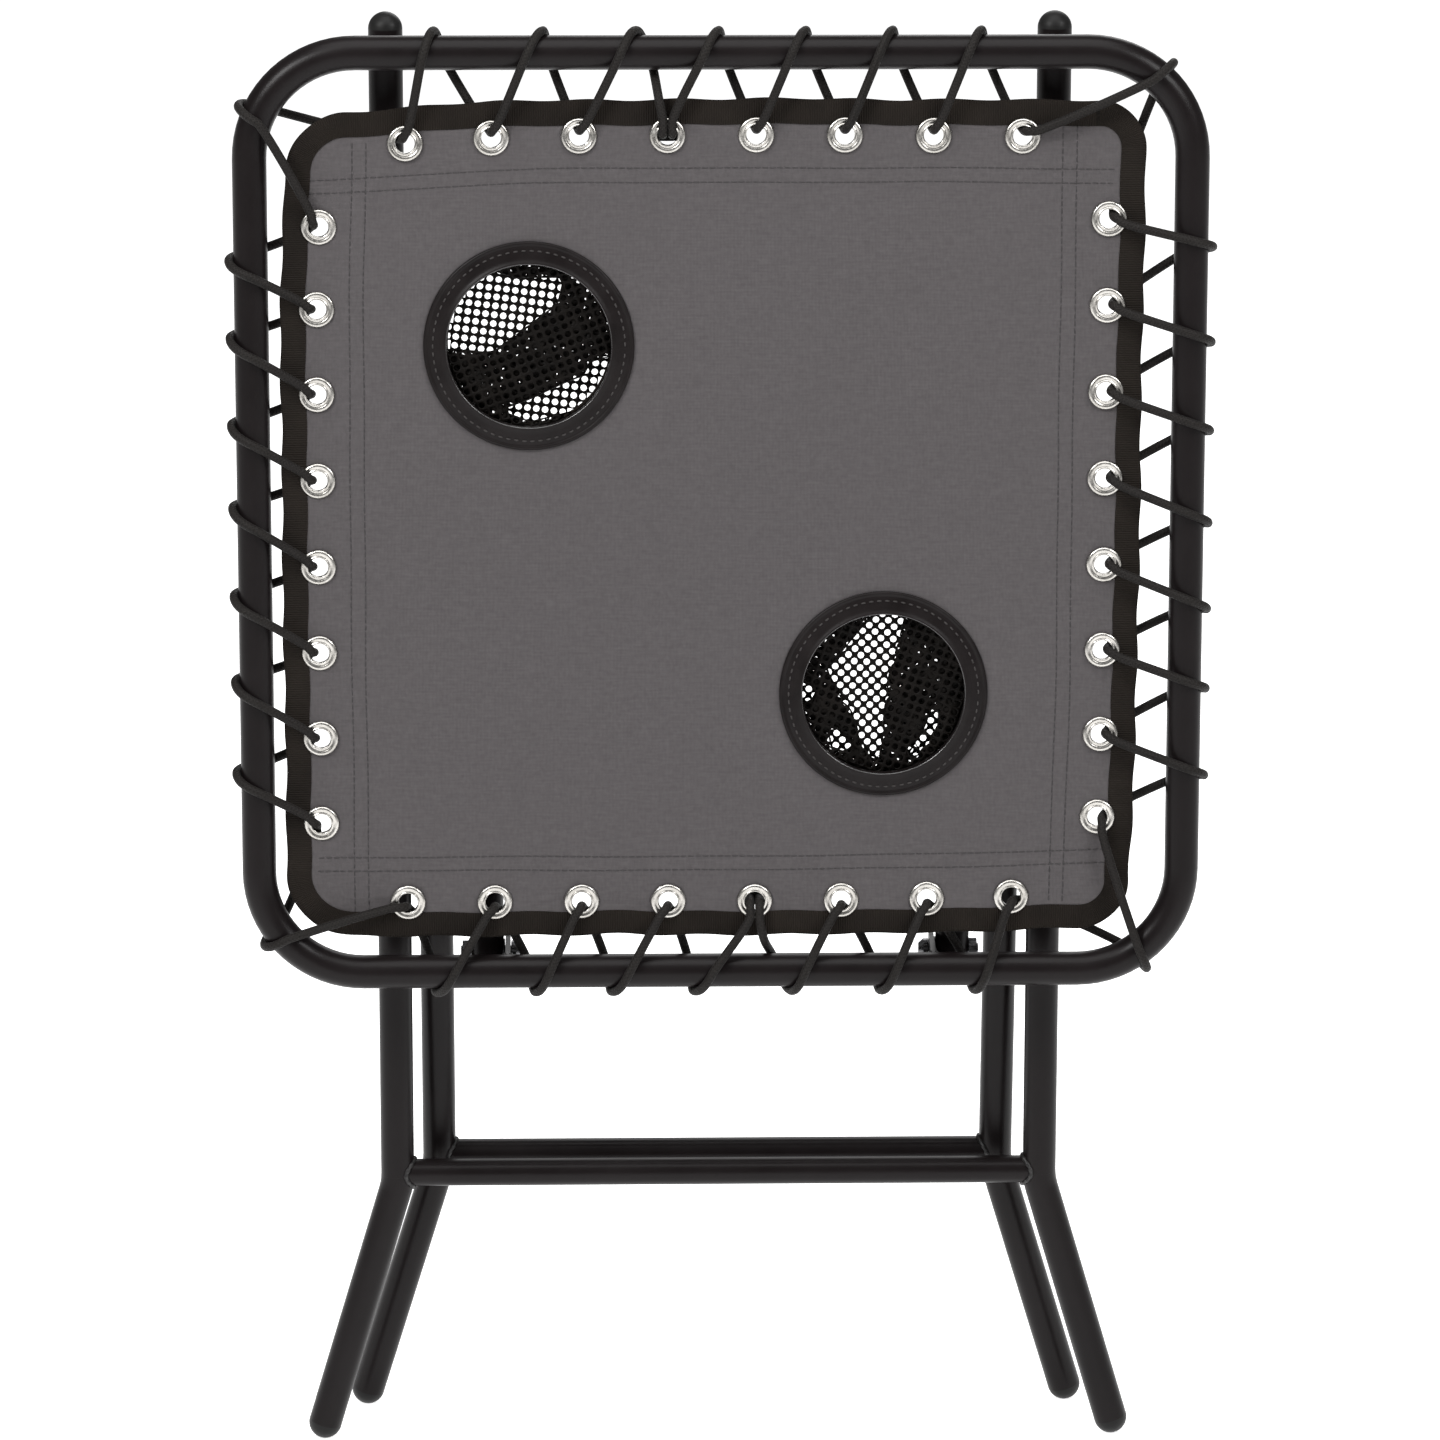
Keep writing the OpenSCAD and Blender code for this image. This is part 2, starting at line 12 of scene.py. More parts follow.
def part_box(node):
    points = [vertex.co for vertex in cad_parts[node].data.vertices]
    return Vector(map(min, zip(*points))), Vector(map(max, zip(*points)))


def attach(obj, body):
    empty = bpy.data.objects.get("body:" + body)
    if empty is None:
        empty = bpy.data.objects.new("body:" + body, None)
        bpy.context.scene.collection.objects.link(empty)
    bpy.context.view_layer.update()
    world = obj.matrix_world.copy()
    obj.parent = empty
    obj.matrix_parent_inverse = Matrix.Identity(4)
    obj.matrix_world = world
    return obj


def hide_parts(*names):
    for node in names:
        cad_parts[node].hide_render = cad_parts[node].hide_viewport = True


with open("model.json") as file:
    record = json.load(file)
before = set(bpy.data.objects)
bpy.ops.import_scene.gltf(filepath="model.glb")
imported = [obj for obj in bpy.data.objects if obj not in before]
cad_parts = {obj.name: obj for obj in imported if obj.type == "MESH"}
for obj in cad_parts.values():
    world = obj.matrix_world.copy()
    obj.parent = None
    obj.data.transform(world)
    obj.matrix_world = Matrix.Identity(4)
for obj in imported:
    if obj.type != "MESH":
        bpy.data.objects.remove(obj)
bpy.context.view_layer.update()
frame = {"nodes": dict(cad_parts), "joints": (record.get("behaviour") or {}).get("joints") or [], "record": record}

MM = 0.001
TAU = 2 * math.pi

# ---------------------------------------------------------------- driving dimensions
TOP_LEAN = math.radians(5)
HINGE_BACK, HINGE_DROP = 28.5 * MM, 4.2 * MM
HALF = 231.5 * MM                # top frame centreline, from the middle
CORNER_R = 52 * MM
TUBE_R = 8.5 * MM
BAR_R = 7 * MM
PANEL_W, PANEL_H = 424 * MM, 420 * MM
PANEL_X, PANEL_Z = -4.8 * MM, -2.2 * MM
# Corner radii of the hand-cut panel: upper right, lower right, lower left, upper left
PANEL_CORNERS = ((1, 1, 22 * MM), (1, -1, 24 * MM), (-1, -1, 33 * MM), (-1, 1, 30 * MM))
EYELET_PITCH, EYELET_IN, EYELETS = 43.5 * MM, 17 * MM, 8
EYELET_HOLE_R = 4.8 * MM
CORD_R = 2.25 * MM
CUP_X, CUP_Z, CUP_OFF = -7 * MM, -1.2 * MM, 88 * MM
CUP_R, RING_R = 40.5 * MM, 52 * MM
BINDING_W = 11.5 * MM
FABRIC_T = 1.0 * MM
TAB_T = 2.5 * MM
HEM_LINES = (33 * MM, 40 * MM)   # stitch lines, from the panel's edge
SIDES = (-1, 1)

joints = {j["name"]: j for j in frame["joints"]}
PIVOT = Vector(joints["leg_scissor"]["pos_m"])
HINGE = Vector(joints["tabletop_hinge"]["pos_m"])
TOP = (Matrix.Translation(HINGE) @ Matrix.Rotation(-TOP_LEAN, 4, "X")
       @ Matrix.Translation((0, -HINGE_BACK, HINGE_DROP - HALF)))


# ---------------------------------------------------------------- camera
def make_camera():
    """The photograph's view: nearly square on, from a little above, with a long lens."""
    aim = Vector((0.3 * MM, PIVOT.y, 0.381))
    distance, focal = 3.3, 163.2
    down, turn, roll = math.radians(17.3), math.radians(-1.4), math.radians(0.17)
    back = Vector((math.sin(turn) * math.cos(down), -math.cos(turn) * math.cos(down), math.sin(down)))
    data = bpy.data.cameras.new("camera")
    data.lens, data.sensor_width = focal, 36
    data.clip_start, data.clip_end = 0.1, 60
    camera = bpy.data.objects.new("camera", data)
    camera.location = aim + back * distance
    camera.rotation_mode = "QUATERNION"
    level = (-back).to_track_quat("-Z", "Y")
    camera.rotation_quaternion = level @ Matrix.Rotation(roll, 4, "Z").to_quaternion()
    bpy.context.scene.collection.objects.link(camera)
    bpy.context.scene.camera = camera


# ---------------------------------------------------------------- materials
class Nodes:
    """A short way to write a node material: node() makes one, link() joins two sockets."""

    def __init__(self, name):
        self.material = bpy.data.materials.new(name)
        self.material.use_nodes = True
        self.tree = self.material.node_tree
        self.shader = self.tree.nodes["Principled BSDF"]
        self.place = self.node("TexCoord").outputs["Object"]

    def node(self, kind, **settings):
        made = self.tree.nodes.new("ShaderNode" + kind)
        for key, value in settings.items():
            setattr(made, key, value)
        return made

    def link(self, source, target):
        self.tree.links.new(source, target)

    def set(self, **values):
        for key, value in values.items():
            self.shader.inputs[key.replace("_", " ")].default_value = value

    def noise(self, scale, detail=3, roughness=0.5, stretch=None):
        made = self.node("TexNoise")
        made.inputs["Scale"].default_value = scale
        made.inputs["Detail"].default_value = detail
        made.inputs["Roughness"].default_value = roughness
        source = self.place
        if stretch:
            scaled = self.node("Mapping")
            scaled.inputs["Scale"].default_value = stretch
            self.link(source, scaled.inputs["Vector"])
            source = scaled.outputs["Vector"]
        self.link(source, made.inputs["Vector"])
        return made.outputs["Fac"]

    def waves(self, axis, pitch, distortion):
        """Bands across an axis, one every pitch."""
        made = self.node("TexWave", wave_type="BANDS", bands_direction=axis)
        made.inputs["Scale"].default_value = math.pi / 10 / pitch
        made.inputs["Distortion"].default_value = distortion
        self.link(self.place, made.inputs["Vector"])
        return made.outputs["Fac"]

    def math(self, operation, a, b):
        made = self.node("Math", operation=operation)
        for socket, value in zip(made.inputs, (a, b)):
            if isinstance(value, (int, float)):
                socket.default_value = value
            else:
                self.link(value, socket)
        return made.outputs["Value"]

    def spread(self, value, low, high, start=0.3, stop=0.7):
        """Value mapped from start..stop to low..high."""
        made = self.node("MapRange")
        for key, number in (("From Min", start), ("From Max", stop), ("To Min", low), ("To Max", high)):
            made.inputs[key].default_value = number
        self.link(value, made.inputs["Value"])
        return made.outputs["Result"]

    def shade(self, value, dark, light, low=0.3, high=0.7):
        """Base colour from dark to light as value goes from low to high."""
        ramp = self.node("ValToRGB")
        for element, place, colour in zip(ramp.color_ramp.elements, (low, high), (dark, light)):
            element.position = place
            element.color = (*colour, 1)
        self.link(value, ramp.inputs["Fac"])
        self.link(ramp.outputs["Color"], self.shader.inputs["Base Color"])

    def sine(self, value):
        return self.math("SINE", value, 0)

    def bump(self, height, distance, strength=1.0):
        made = self.node("Bump")
        made.inputs["Strength"].default_value = strength
        made.inputs["Distance"].default_value = distance
        self.link(height, made.inputs["Height"])
        self.link(made.outputs["Normal"], self.shader.inputs["Normal"])

    def attribute(self, name):
        return self.node("Attribute", attribute_name=name).outputs["Fac"]

    def to_roughness(self, value):
        self.link(value, self.shader.inputs["Roughness"])


def powder_coat():
    """Satin black powder coat: fine orange peel, a little dust and soft differences in gloss."""
    m = Nodes("powder_coat")
    peel = m.noise(1400, detail=2)
    smudge = m.noise(28, detail=5, roughness=0.6)
    m.shade(smudge, (0.0048, 0.0036, 0.0037), (0.0070, 0.0054, 0.0056))
    m.to_roughness(m.spread(smudge, 0.28, 0.36))
    m.set(Specular_IOR_Level=0.115)
    m.bump(peel, 0.00006)
    return m.material


def weld_coat():
    """The same coat over a weld bead, rougher and duller, its colour painted lighter than the coat's and lightest
    on the lumps: painted sheen.
    """
    m = Nodes("weld_coat")
    lumps = m.noise(900, detail=4)
    # colour lighter than the coat and lighter on the raised lumps: painted sheen
    m.shade(lumps, (0.006, 0.0056, 0.0056), (0.018, 0.017, 0.017))
    m.to_roughness(m.spread(lumps, 0.36, 0.55))
    m.set(Specular_IOR_Level=0.3)
    m.bump(lumps, 0.0002)
    return m.material


def cap_plastic(name="cap_plastic", base=0.0066, rough=0.42):
    """Moulded black plastic with a fine spark-eroded grain."""
    m = Nodes(name)
    grain = m.noise(2600, detail=2)
    wear = m.noise(60, detail=4)
    m.shade(wear, (base, base, base), (base * 1.6, base * 1.55, base * 1.5))
    m.to_roughness(m.spread(wear, rough - 0.06, rough + 0.06))
    m.set(Specular_IOR_Level=0.12)
    m.bump(grain, 0.00005)
    return m.material


def zinc_plate():
    """Blackened zinc on the fasteners, with turning marks and bright wear."""
    m = Nodes("zinc_plate")
    marks = m.noise(500, detail=3, stretch=(0.1, 1, 1))
    bloom = m.noise(120, detail=3)
    m.shade(bloom, (0.07, 0.07, 0.073), (0.3, 0.3, 0.31), 0.45, 0.7)
    m.to_roughness(m.spread(marks, 0.2, 0.36))
    m.set(Metallic=1.0)
    m.bump(marks, 0.00004)
    return m.material


def eyelet_nickel():
    """Satin nickel plate with tumbling marks."""
    m = Nodes("eyelet_nickel")
    marks = m.noise(700, detail=4, roughness=0.6)
    bloom = m.noise(90, detail=2)
    m.shade(bloom, (0.36, 0.345, 0.32), (0.46, 0.445, 0.42), 0.35, 0.65)
    m.to_roughness(m.spread(marks, 0.2, 0.34))
    m.set(Metallic=1.0)
    m.bump(marks, 0.00005)
    return m.material


def panel_fabric():
    """Grey plain-weave sling cloth: fine yarns both ways with painted shade in the gaps between them, short slubs
    across, even in tone.
    """
    m = Nodes("panel_fabric")
    pitch = 0.7 * MM
    weave = m.math("MULTIPLY", m.waves("X", pitch, 0.3), m.waves("Z", pitch, 0.3))
    slubs = m.noise(900, detail=3, stretch=(0.16, 1, 1))
    tufts = m.noise(650, detail=2, stretch=(1, 1, 0.5))
    tone = m.math("ADD", m.spread(slubs, 0.38, 0.62), m.spread(tufts, -0.12, 0.12))
    # the weave term darkens the gaps between yarns, where the bump is low: painted shade
    tone = m.math("ADD", tone, m.spread(weave, -0.1, 0.06, 0.0, 0.8))
    m.shade(tone, (0.0468, 0.0428, 0.0439), (0.0740, 0.0677, 0.0694), 0.1, 0.9)
    m.set(Roughness=0.85, Sheen_Weight=0.06, Sheen_Roughness=0.5, Specular_IOR_Level=0.15)
    m.bump(m.math("ADD", weave, m.math("MULTIPLY", slubs, 0.5)), 0.0001)
    return m.material


def binding_webbing():
    """Black ribbed tape: ribs across its length, from the along attribute, with painted shade in the grooves
    between them.
    """
    m = Nodes("binding_webbing")
    rib_pitch = 1.15 * MM
    ribs = m.sine(m.math("MULTIPLY", m.attribute("along"), TAU / rib_pitch))
    fibre = m.noise(1500, detail=3)
    lint = m.noise(40, detail=4)
    height = m.math("ADD", ribs, m.math("MULTIPLY", fibre, 0.8))
    # the ribs make the crests lighter and the grooves darker: painted shade, over the tape's random lint tone
    tone = m.math("ADD", m.spread(lint, 0.3, 0.6), m.math("MULTIPLY", ribs, 0.12))
    m.shade(tone, (0.0056, 0.0043, 0.0034), (0.0158, 0.0124, 0.0098), 0.2, 0.9)
    m.set(Roughness=0.8, Sheen_Weight=0.01, Specular_IOR_Level=0.08)
    m.bump(height, 0.00012)
    return m.material


def elastic_cord():
    """Braided cover of a black elastic cord: two crossing sets of helices, their crests painted lighter and the
    grooves between them darker: painted sheen and painted shade.
    """
    m = Nodes("elastic_cord")
    along, around = m.attribute("along"), m.attribute("around")
    carriers, lay = 12, 11 * MM
    turns = m.math("MULTIPLY", around, TAU * carriers / 2)
    travel = m.math("MULTIPLY", along, TAU * carriers / 2 / lay)
    left = m.sine(m.math("ADD", turns, travel))
    right = m.sine(m.math("SUBTRACT", turns, travel))
    braid = m.math("MAXIMUM", left, right)
    fibre = m.noise(1800, detail=3)
    # colour follows the braid's relief: painted sheen on the strands' crests and painted shade in the grooves,
    # with random fibre tone
    tone = m.math("ADD", m.spread(braid, 0.25, 0.6, -0.6, 1.0), m.spread(fibre, -0.1, 0.1))
    m.shade(tone, (0.0032, 0.0026, 0.0023), (0.0108, 0.0089, 0.0078), 0.15, 0.8)
    m.set(Roughness=0.6, Sheen_Weight=0.02, Specular_IOR_Level=0.14)
    m.bump(m.math("ADD", braid, m.math("MULTIPLY", fibre, 0.3)), 0.0001)
    return m.material


def ring_vinyl():
    """Soft black vinyl of the cup rings: low gloss with a leather-like grain, polished at the lip."""
    m = Nodes("ring_vinyl")
    cells = m.node("TexVoronoi", feature="DISTANCE_TO_EDGE")
    cells.inputs["Scale"].default_value = 1300
    m.link(m.place, cells.inputs["Vector"])
    rub = m.noise(70, detail=4)
    m.shade(rub, (0.0054, 0.0042, 0.0042), (0.0090, 0.0072, 0.0072))
    lip = m.attribute("lip")
    m.to_roughness(m.math("SUBTRACT", m.spread(rub, 0.32, 0.42), m.math("MULTIPLY", lip, 0.14)))
    m.link(m.spread(lip, 0.1, 0.9, 0, 1), m.shader.inputs["Specular IOR Level"])
    m.bump(cells.outputs["Distance"], 0.00006)
    return m.material


def pocket_mesh():
    """Coated black net: slightly shiny strands."""
    m = Nodes("pocket_mesh")
    twist = m.noise(1600, detail=2)
    rub = m.noise(90, detail=3)
    m.shade(rub, (0.0028, 0.0023, 0.002), (0.0055, 0.0045, 0.0039))
    m.to_roughness(m.spread(rub, 0.45, 0.6))
    m.set(Specular_IOR_Level=0.05)
    m.bump(twist, 0.00008)
    return m.material


def thread(name, base):
    """Twisted sewing thread."""
    m = Nodes(name)
    twist = m.noise(2500, detail=2)
    m.shade(twist, tuple(0.7 * c for c in base), base)
    m.set(Roughness=0.7, Specular_IOR_Level=0.3)
    m.bump(twist, 0.00008)
    return m.material


def studio_floor():
    """Pale seamless paper."""
    m = Nodes("studio_floor")
    tooth = m.noise(300, detail=4)
    m.shade(m.noise(0.6, detail=2), (0.86, 0.86, 0.86), (0.88, 0.88, 0.88))
    m.set(Roughness=0.9, Specular_IOR_Level=0.0, Emission_Color=(1, 1, 1, 1), Emission_Strength=0.8)
    m.bump(tooth, 0.00005, 0.3)
    return m.material


COAT, WELD, CAP, ZINC, NICKEL = powder_coat(), weld_coat(), cap_plastic(), zinc_plate(), eyelet_nickel()
FABRIC, WEBBING, CORD, VINYL, NET = (
    panel_fabric(), binding_webbing(), elastic_cord(), ring_vinyl(), pocket_mesh())
WASHER = cap_plastic("washer_nylon", 0.016, 0.42)
CLAMP = cap_plastic("clamp_plastic", 0.012, 0.4)
HEM_THREAD = thread("hem_thread", (0.036, 0.033, 0.034))
RING_THREAD = thread("ring_thread", (0.03, 0.027, 0.026))


# ---------------------------------------------------------------- mesh tools
class Shape:
    """Gathers vertices and faces, with named numbers per vertex, and makes one piece of them."""

    def __init__(self):
        self.points, self.faces, self.values, self.count = [], [], {}, 0

    def add(self, points, faces, **values):
        points = np.asarray(points, float).reshape(-1, 3)
        self.points.append(points)
        self.faces += [tuple(int(i) + self.count for i in f) for f in faces]
        for key, value in values.items():
            self.values.setdefault(key, []).append((self.count, np.asarray(value, float)))
        self.count += len(points)

    def piece(self, name, material, body, replaces=(), place=TOP):
        mesh = bpy.data.meshes.new(name)
        mesh.from_pydata(np.concatenate(self.points).tolist(), [], self.faces)
        mesh.transform(place)
        for key, parts in self.values.items():
            whole = np.zeros(self.count, np.float32)
            for start, value in parts:
                whole[start:start + len(value)] = value
            mesh.attributes.new(key, "FLOAT", "POINT").data.foreach_set("value", whole)
        mesh.polygons.foreach_set("use_smooth", [True] * len(mesh.polygons))
        mesh.materials.append(material)
        mesh.update()
        made = bpy.data.objects.new(name, mesh)
        bpy.context.scene.collection.objects.link(made)
        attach(made, body)
        if replaces:
            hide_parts(*replaces)
        return made


def unit(v):
    return v / np.linalg.norm(v, axis=-1, keepdims=True)


PATH_SPLITS = 16                 # curve points between two given ones, before resampling


def smooth_path(points, step):
    """A Catmull-Rom curve through the points, resampled every step, and the length up to each."""
    p = np.asarray(points, float)
    p = np.vstack([2 * p[0] - p[1], p, 2 * p[-1] - p[-2]])
    knots = np.concatenate([[0], np.cumsum(np.sqrt(np.linalg.norm(np.diff(p, axis=0), axis=1)))])
    curve = []
    for i in range(1, len(p) - 2):
        t0, t1, t2, t3 = knots[i - 1:i + 3]
        t = np.linspace(t1, t2, PATH_SPLITS, endpoint=False)[:, None]
        a1 = (t1 - t) / (t1 - t0) * p[i - 1] + (t - t0) / (t1 - t0) * p[i]
        a2 = (t2 - t) / (t2 - t1) * p[i] + (t - t1) / (t2 - t1) * p[i + 1]
        a3 = (t3 - t) / (t3 - t2) * p[i + 1] + (t - t2) / (t3 - t2) * p[i + 2]
        b1 = (t2 - t) / (t2 - t0) * a1 + (t - t0) / (t2 - t0) * a2
        b2 = (t3 - t) / (t3 - t1) * a2 + (t - t1) / (t3 - t1) * a3
        curve.append((t2 - t) / (t2 - t1) * b1 + (t - t1) / (t2 - t1) * b2)
    curve.append(p[-2:-1])
    curve = np.concatenate(curve)
    length = np.concatenate([[0], np.cumsum(np.linalg.norm(np.diff(curve, axis=0), axis=1))])
    count = max(3, int(round(length[-1] / step)) + 1)
    where = np.linspace(0, length[-1], count)
    return np.stack([np.interp(where, length, curve[:, k]) for k in range(3)], axis=1), where


def carried_normals(path, tangents):
    """A normal at each point of the path, carried along it without twist."""
    seed = np.array([0.3, 0.5, 0.8])
    normals = [unit(seed - tangents[0] * (seed @ tangents[0]))]
    for t in tangents[1:]:
        n = normals[-1] - t * (normals[-1] @ t)
        normals.append(unit(n))
    return np.array(normals)


def add_tube(shape, path, along, radius, sides, closed=False):
    """A round tube along the path, with domed ends. radius is one number or one per point."""
    path = np.asarray(path, float)
    n = len(path)
    if closed:
        tangents = unit(np.roll(path, -1, 0) - np.roll(path, 1, 0))
    else:
        tangents = unit(np.gradient(path, axis=0))
    normals = carried_normals(path, tangents)
    if closed:  # spread the leftover twist over the loop
        last = unit(normals[-1] - tangents[0] * (normals[-1] @ tangents[0]))
        twist = math.atan2(np.cross(last, normals[0]) @ tangents[0], last @ normals[0])
        angles = np.linspace(0, twist, n)[:, None]
        side = np.cross(tangents, normals)
        normals = normals * np.cos(angles) + side * np.sin(angles)
    others = np.cross(tangents, normals)
    radius = np.broadcast_to(radius, n)
    turn = np.arange(sides) / sides
    c, s = np.cos(TAU * turn), np.sin(TAU * turn)
    rings = path[:, None] + radius[:, None, None] * (
        normals[:, None] * c[None, :, None] + others[:, None] * s[None, :, None])
    points = rings.reshape(-1, 3)
    faces = []
    for i in range(n if closed else n - 1):
        a, b = i * sides, (i + 1) % n * sides
        faces += [(a + k, a + (k + 1) % sides, b + (k + 1) % sides, b + k) for k in range(sides)]
    around, lengths = np.tile(turn, n), np.repeat(along, sides)
    if not closed:
        tips = [path[0] - tangents[0] * radius[0] * 0.5, path[-1] + tangents[-1] * radius[-1] * 0.5]
        first, last = len(points), (n - 1) * sides
        points = np.vstack([points, tips])
        faces += [((k + 1) % sides, k, first) for k in range(sides)]
        faces += [(last + k, last + (k + 1) % sides, first + 1) for k in range(sides)]
        around = np.append(around, [0, 0])
        lengths = np.append(lengths, [along[0], along[-1]])
    shape.add(points, faces, along=lengths, around=around)


def add_lathe(shape, profile, centre, sides, tilt=None, **values):
    """A closed profile of (radius, y) turned about the Y axis through centre, perhaps tilted.
    values are named numbers, one per point of the profile."""
    profile = np.asarray(profile, float)
    turn = np.arange(sides) * TAU / sides
    rings = np.stack([np.outer(profile[:, 0], np.cos(turn)),
                      np.repeat(profile[:, 1:2], sides, 1),
                      np.outer(profile[:, 0], np.sin(turn))], axis=2).reshape(-1, 3)
    if tilt is not None:
        rings = rings @ np.array(tilt.to_3x3()).T
    n = len(profile)
    faces = []
    for i in range(n):
        a, b = i * sides, (i + 1) % n * sides
        faces += [(a + k, b + k, b + (k + 1) % sides, a + (k + 1) % sides) for k in range(sides)]
    shape.add(rings + np.asarray(centre, float), faces,
              **{key: np.repeat(value, sides) for key, value in values.items()})


# ---------------------------------------------------------------- the top's plane
OUTWARD = [np.array(v, float) for v in ((0, 0, 1), (1, 0, 0), (0, 0, -1), (-1, 0, 0))]
ALONG = [np.array(v, float) for v in ((1, 0, 0), (0, 0, -1), (-1, 0, 0), (0, 0, 1))]
MIDDLE = np.array((PANEL_X, 0, PANEL_Z))
ROW_START = -(EYELETS - 1) / 2 * EYELET_PITCH
HEIGHTS = (PANEL_H / 2, PANEL_W / 2, PANEL_H / 2, PANEL_W / 2)
BEHIND = np.array((0, 1.0, 0))


def eyelet_at(side, i):
    """Centre of eyelet i on a side: 0 top, 1 right, 2 bottom, 3 left, counted clockwise."""
    return (MIDDLE + OUTWARD[side] * (HEIGHTS[side] - EYELET_IN)
            + ALONG[side] * (ROW_START + i * EYELET_PITCH))


def cup_centre(sign):
    """Centre of the upper (1) or lower (-1) cup holder."""
    return np.array((CUP_X - sign * CUP_OFF, 0, CUP_Z + sign * CUP_OFF))


def edge_distance(x, z):
    """Distance inward from the panel's straight edges, per side."""
    u, w = x - PANEL_X, z - PANEL_Z
    return np.stack([PANEL_H / 2 - w, PANEL_W / 2 - u, PANEL_H / 2 + w, PANEL_W / 2 + u])


def side_place(x, z):
    """Place along each side, in eyelet pitches from its first eyelet."""
    u, w = x - PANEL_X, z - PANEL_Z
    return (np.stack([u, -w, -u, w]) - ROW_START) / EYELET_PITCH


# How the stretched panel departs from flat: its edges wave by SCALLOP in its plane and by BILLOW
# across it, its slack corners are drawn in by CORNER_PULL (corner x and z, right, up), and its
# middle creases. The reaches say how far from the edges and corners that goes
SCALLOP, BILLOW, CREASE = 0.5 * MM, 1.7 * MM, 0.7 * MM
CORNER_PULL = ((-1, 1, 3.5 * MM, -7 * MM), (1, 1, 0.5 * MM, -1.5 * MM), (1, -1, -3 * MM, 3 * MM))
EDGE_REACH, END_REACH, CREASE_REACH, CUP_CALM, PULL_REACH = (v * MM for v in (34, 26, 60, 40, 80))
GAP_BILLOW = np.random.default_rng(7).uniform(-1, 1, (4, EYELETS + 3))    # each gap's own billow


def draped(points):
    """Moves points of the flat panel to where the stretched cloth lies: each eyelet pulls the
    edge outward, and between eyelets the edge is slack and waves to the front or back."""
    p = np.array(points, float).reshape(-1, 3)
    x, z = p[:, 0].copy(), p[:, 2].copy()
    inward, place = edge_distance(x, z), side_place(x, z)
    for side in range(4):
        near = np.clip(inward[side] / EDGE_REACH, 0, 1)
        fade = (1 - near) ** 2 * (1 + 2 * near)
        ends = np.clip(np.minimum(inward[side - 1], inward[(side + 1) % 4]) / END_REACH, 0, 1)
        gap = np.clip(np.floor(place[side]).astype(int) + 1, 0, EYELETS + 1)
        wave = np.cos(TAU * (place[side] - 0.12)) + 0.5 * np.sin(TAU * place[side] / 3.3 + side)
        p += OUTWARD[side] * (SCALLOP * wave * fade * ends)[:, None]
        share = place[side] - np.floor(place[side])
        billow = GAP_BILLOW[side][gap] * np.sin(np.pi * share) ** 2
        p[:, 1] += BILLOW * billow * fade * ends
    for sx, sz, right, up in CORNER_PULL:
        away = np.hypot(x - PANEL_X - sx * PANEL_W / 2, z - PANEL_Z - sz * PANEL_H / 2)
        pull = np.exp(-(away / PULL_REACH) ** 2)
        p[:, 0] += right * pull
        p[:, 2] += up * pull
    u, w = (x - PANEL_X) / PANEL_W, (z - PANEL_Z) / PANEL_H
    inside = np.clip(np.min(inward, axis=0) / CREASE_REACH, 0, 1)
    crease = np.sin(9 * u + 4 * w + 1.5) * np.sin(5 * u - 8 * w) * 0.5 + 0.5 * np.sin(7 * w + 2)
    calm = np.ones(len(p))
    for sign in SIDES:
        cup = cup_centre(sign)
        reach = np.hypot(x - cup[0], z - cup[2])
        calm = calm * np.clip((reach - RING_R) / CUP_CALM, 0, 1)
    p[:, 1] += CREASE * crease * inside * calm
    return p


def panel_outline(step):
    """Points clockwise round the panel's edge, with the outward direction at each."""
    arcs = []
    for quarter, (sx, sz, r) in enumerate(PANEL_CORNERS):
        centre = MIDDLE + np.array((sx * (PANEL_W / 2 - r), 0, sz * (PANEL_H / 2 - r)))
        start = math.pi / 2 * (1 - quarter)
        angles = np.linspace(start, start - math.pi / 2, max(4, int(r * math.pi / 2 / step)))
        normals = np.stack([np.cos(angles), 0 * angles, np.sin(angles)], axis=1)
        arcs.append((centre + normals * r, normals))
    points, normals = [], []
    for (here, n), (after, _) in zip(arcs, arcs[1:] + arcs[:1]):
        count = int(np.linalg.norm(after[0] - here[-1]) / step)
        t = np.linspace(0, 1, count + 1)[1:-1, None]
        points += [here, here[-1] + (after[0] - here[-1]) * t]
        normals += [n, np.repeat(n[-1:], count - 1, 0)]
    return np.concatenate(points), np.concatenate(normals)


# ---------------------------------------------------------------- fabric panel
CLOTH_STEP = 2.5 * MM
HEM_T, HEM_FROM, HEM_EDGE = 0.5 * MM, 44 * MM, 14 * MM    # the folded hem's extra thickness and place


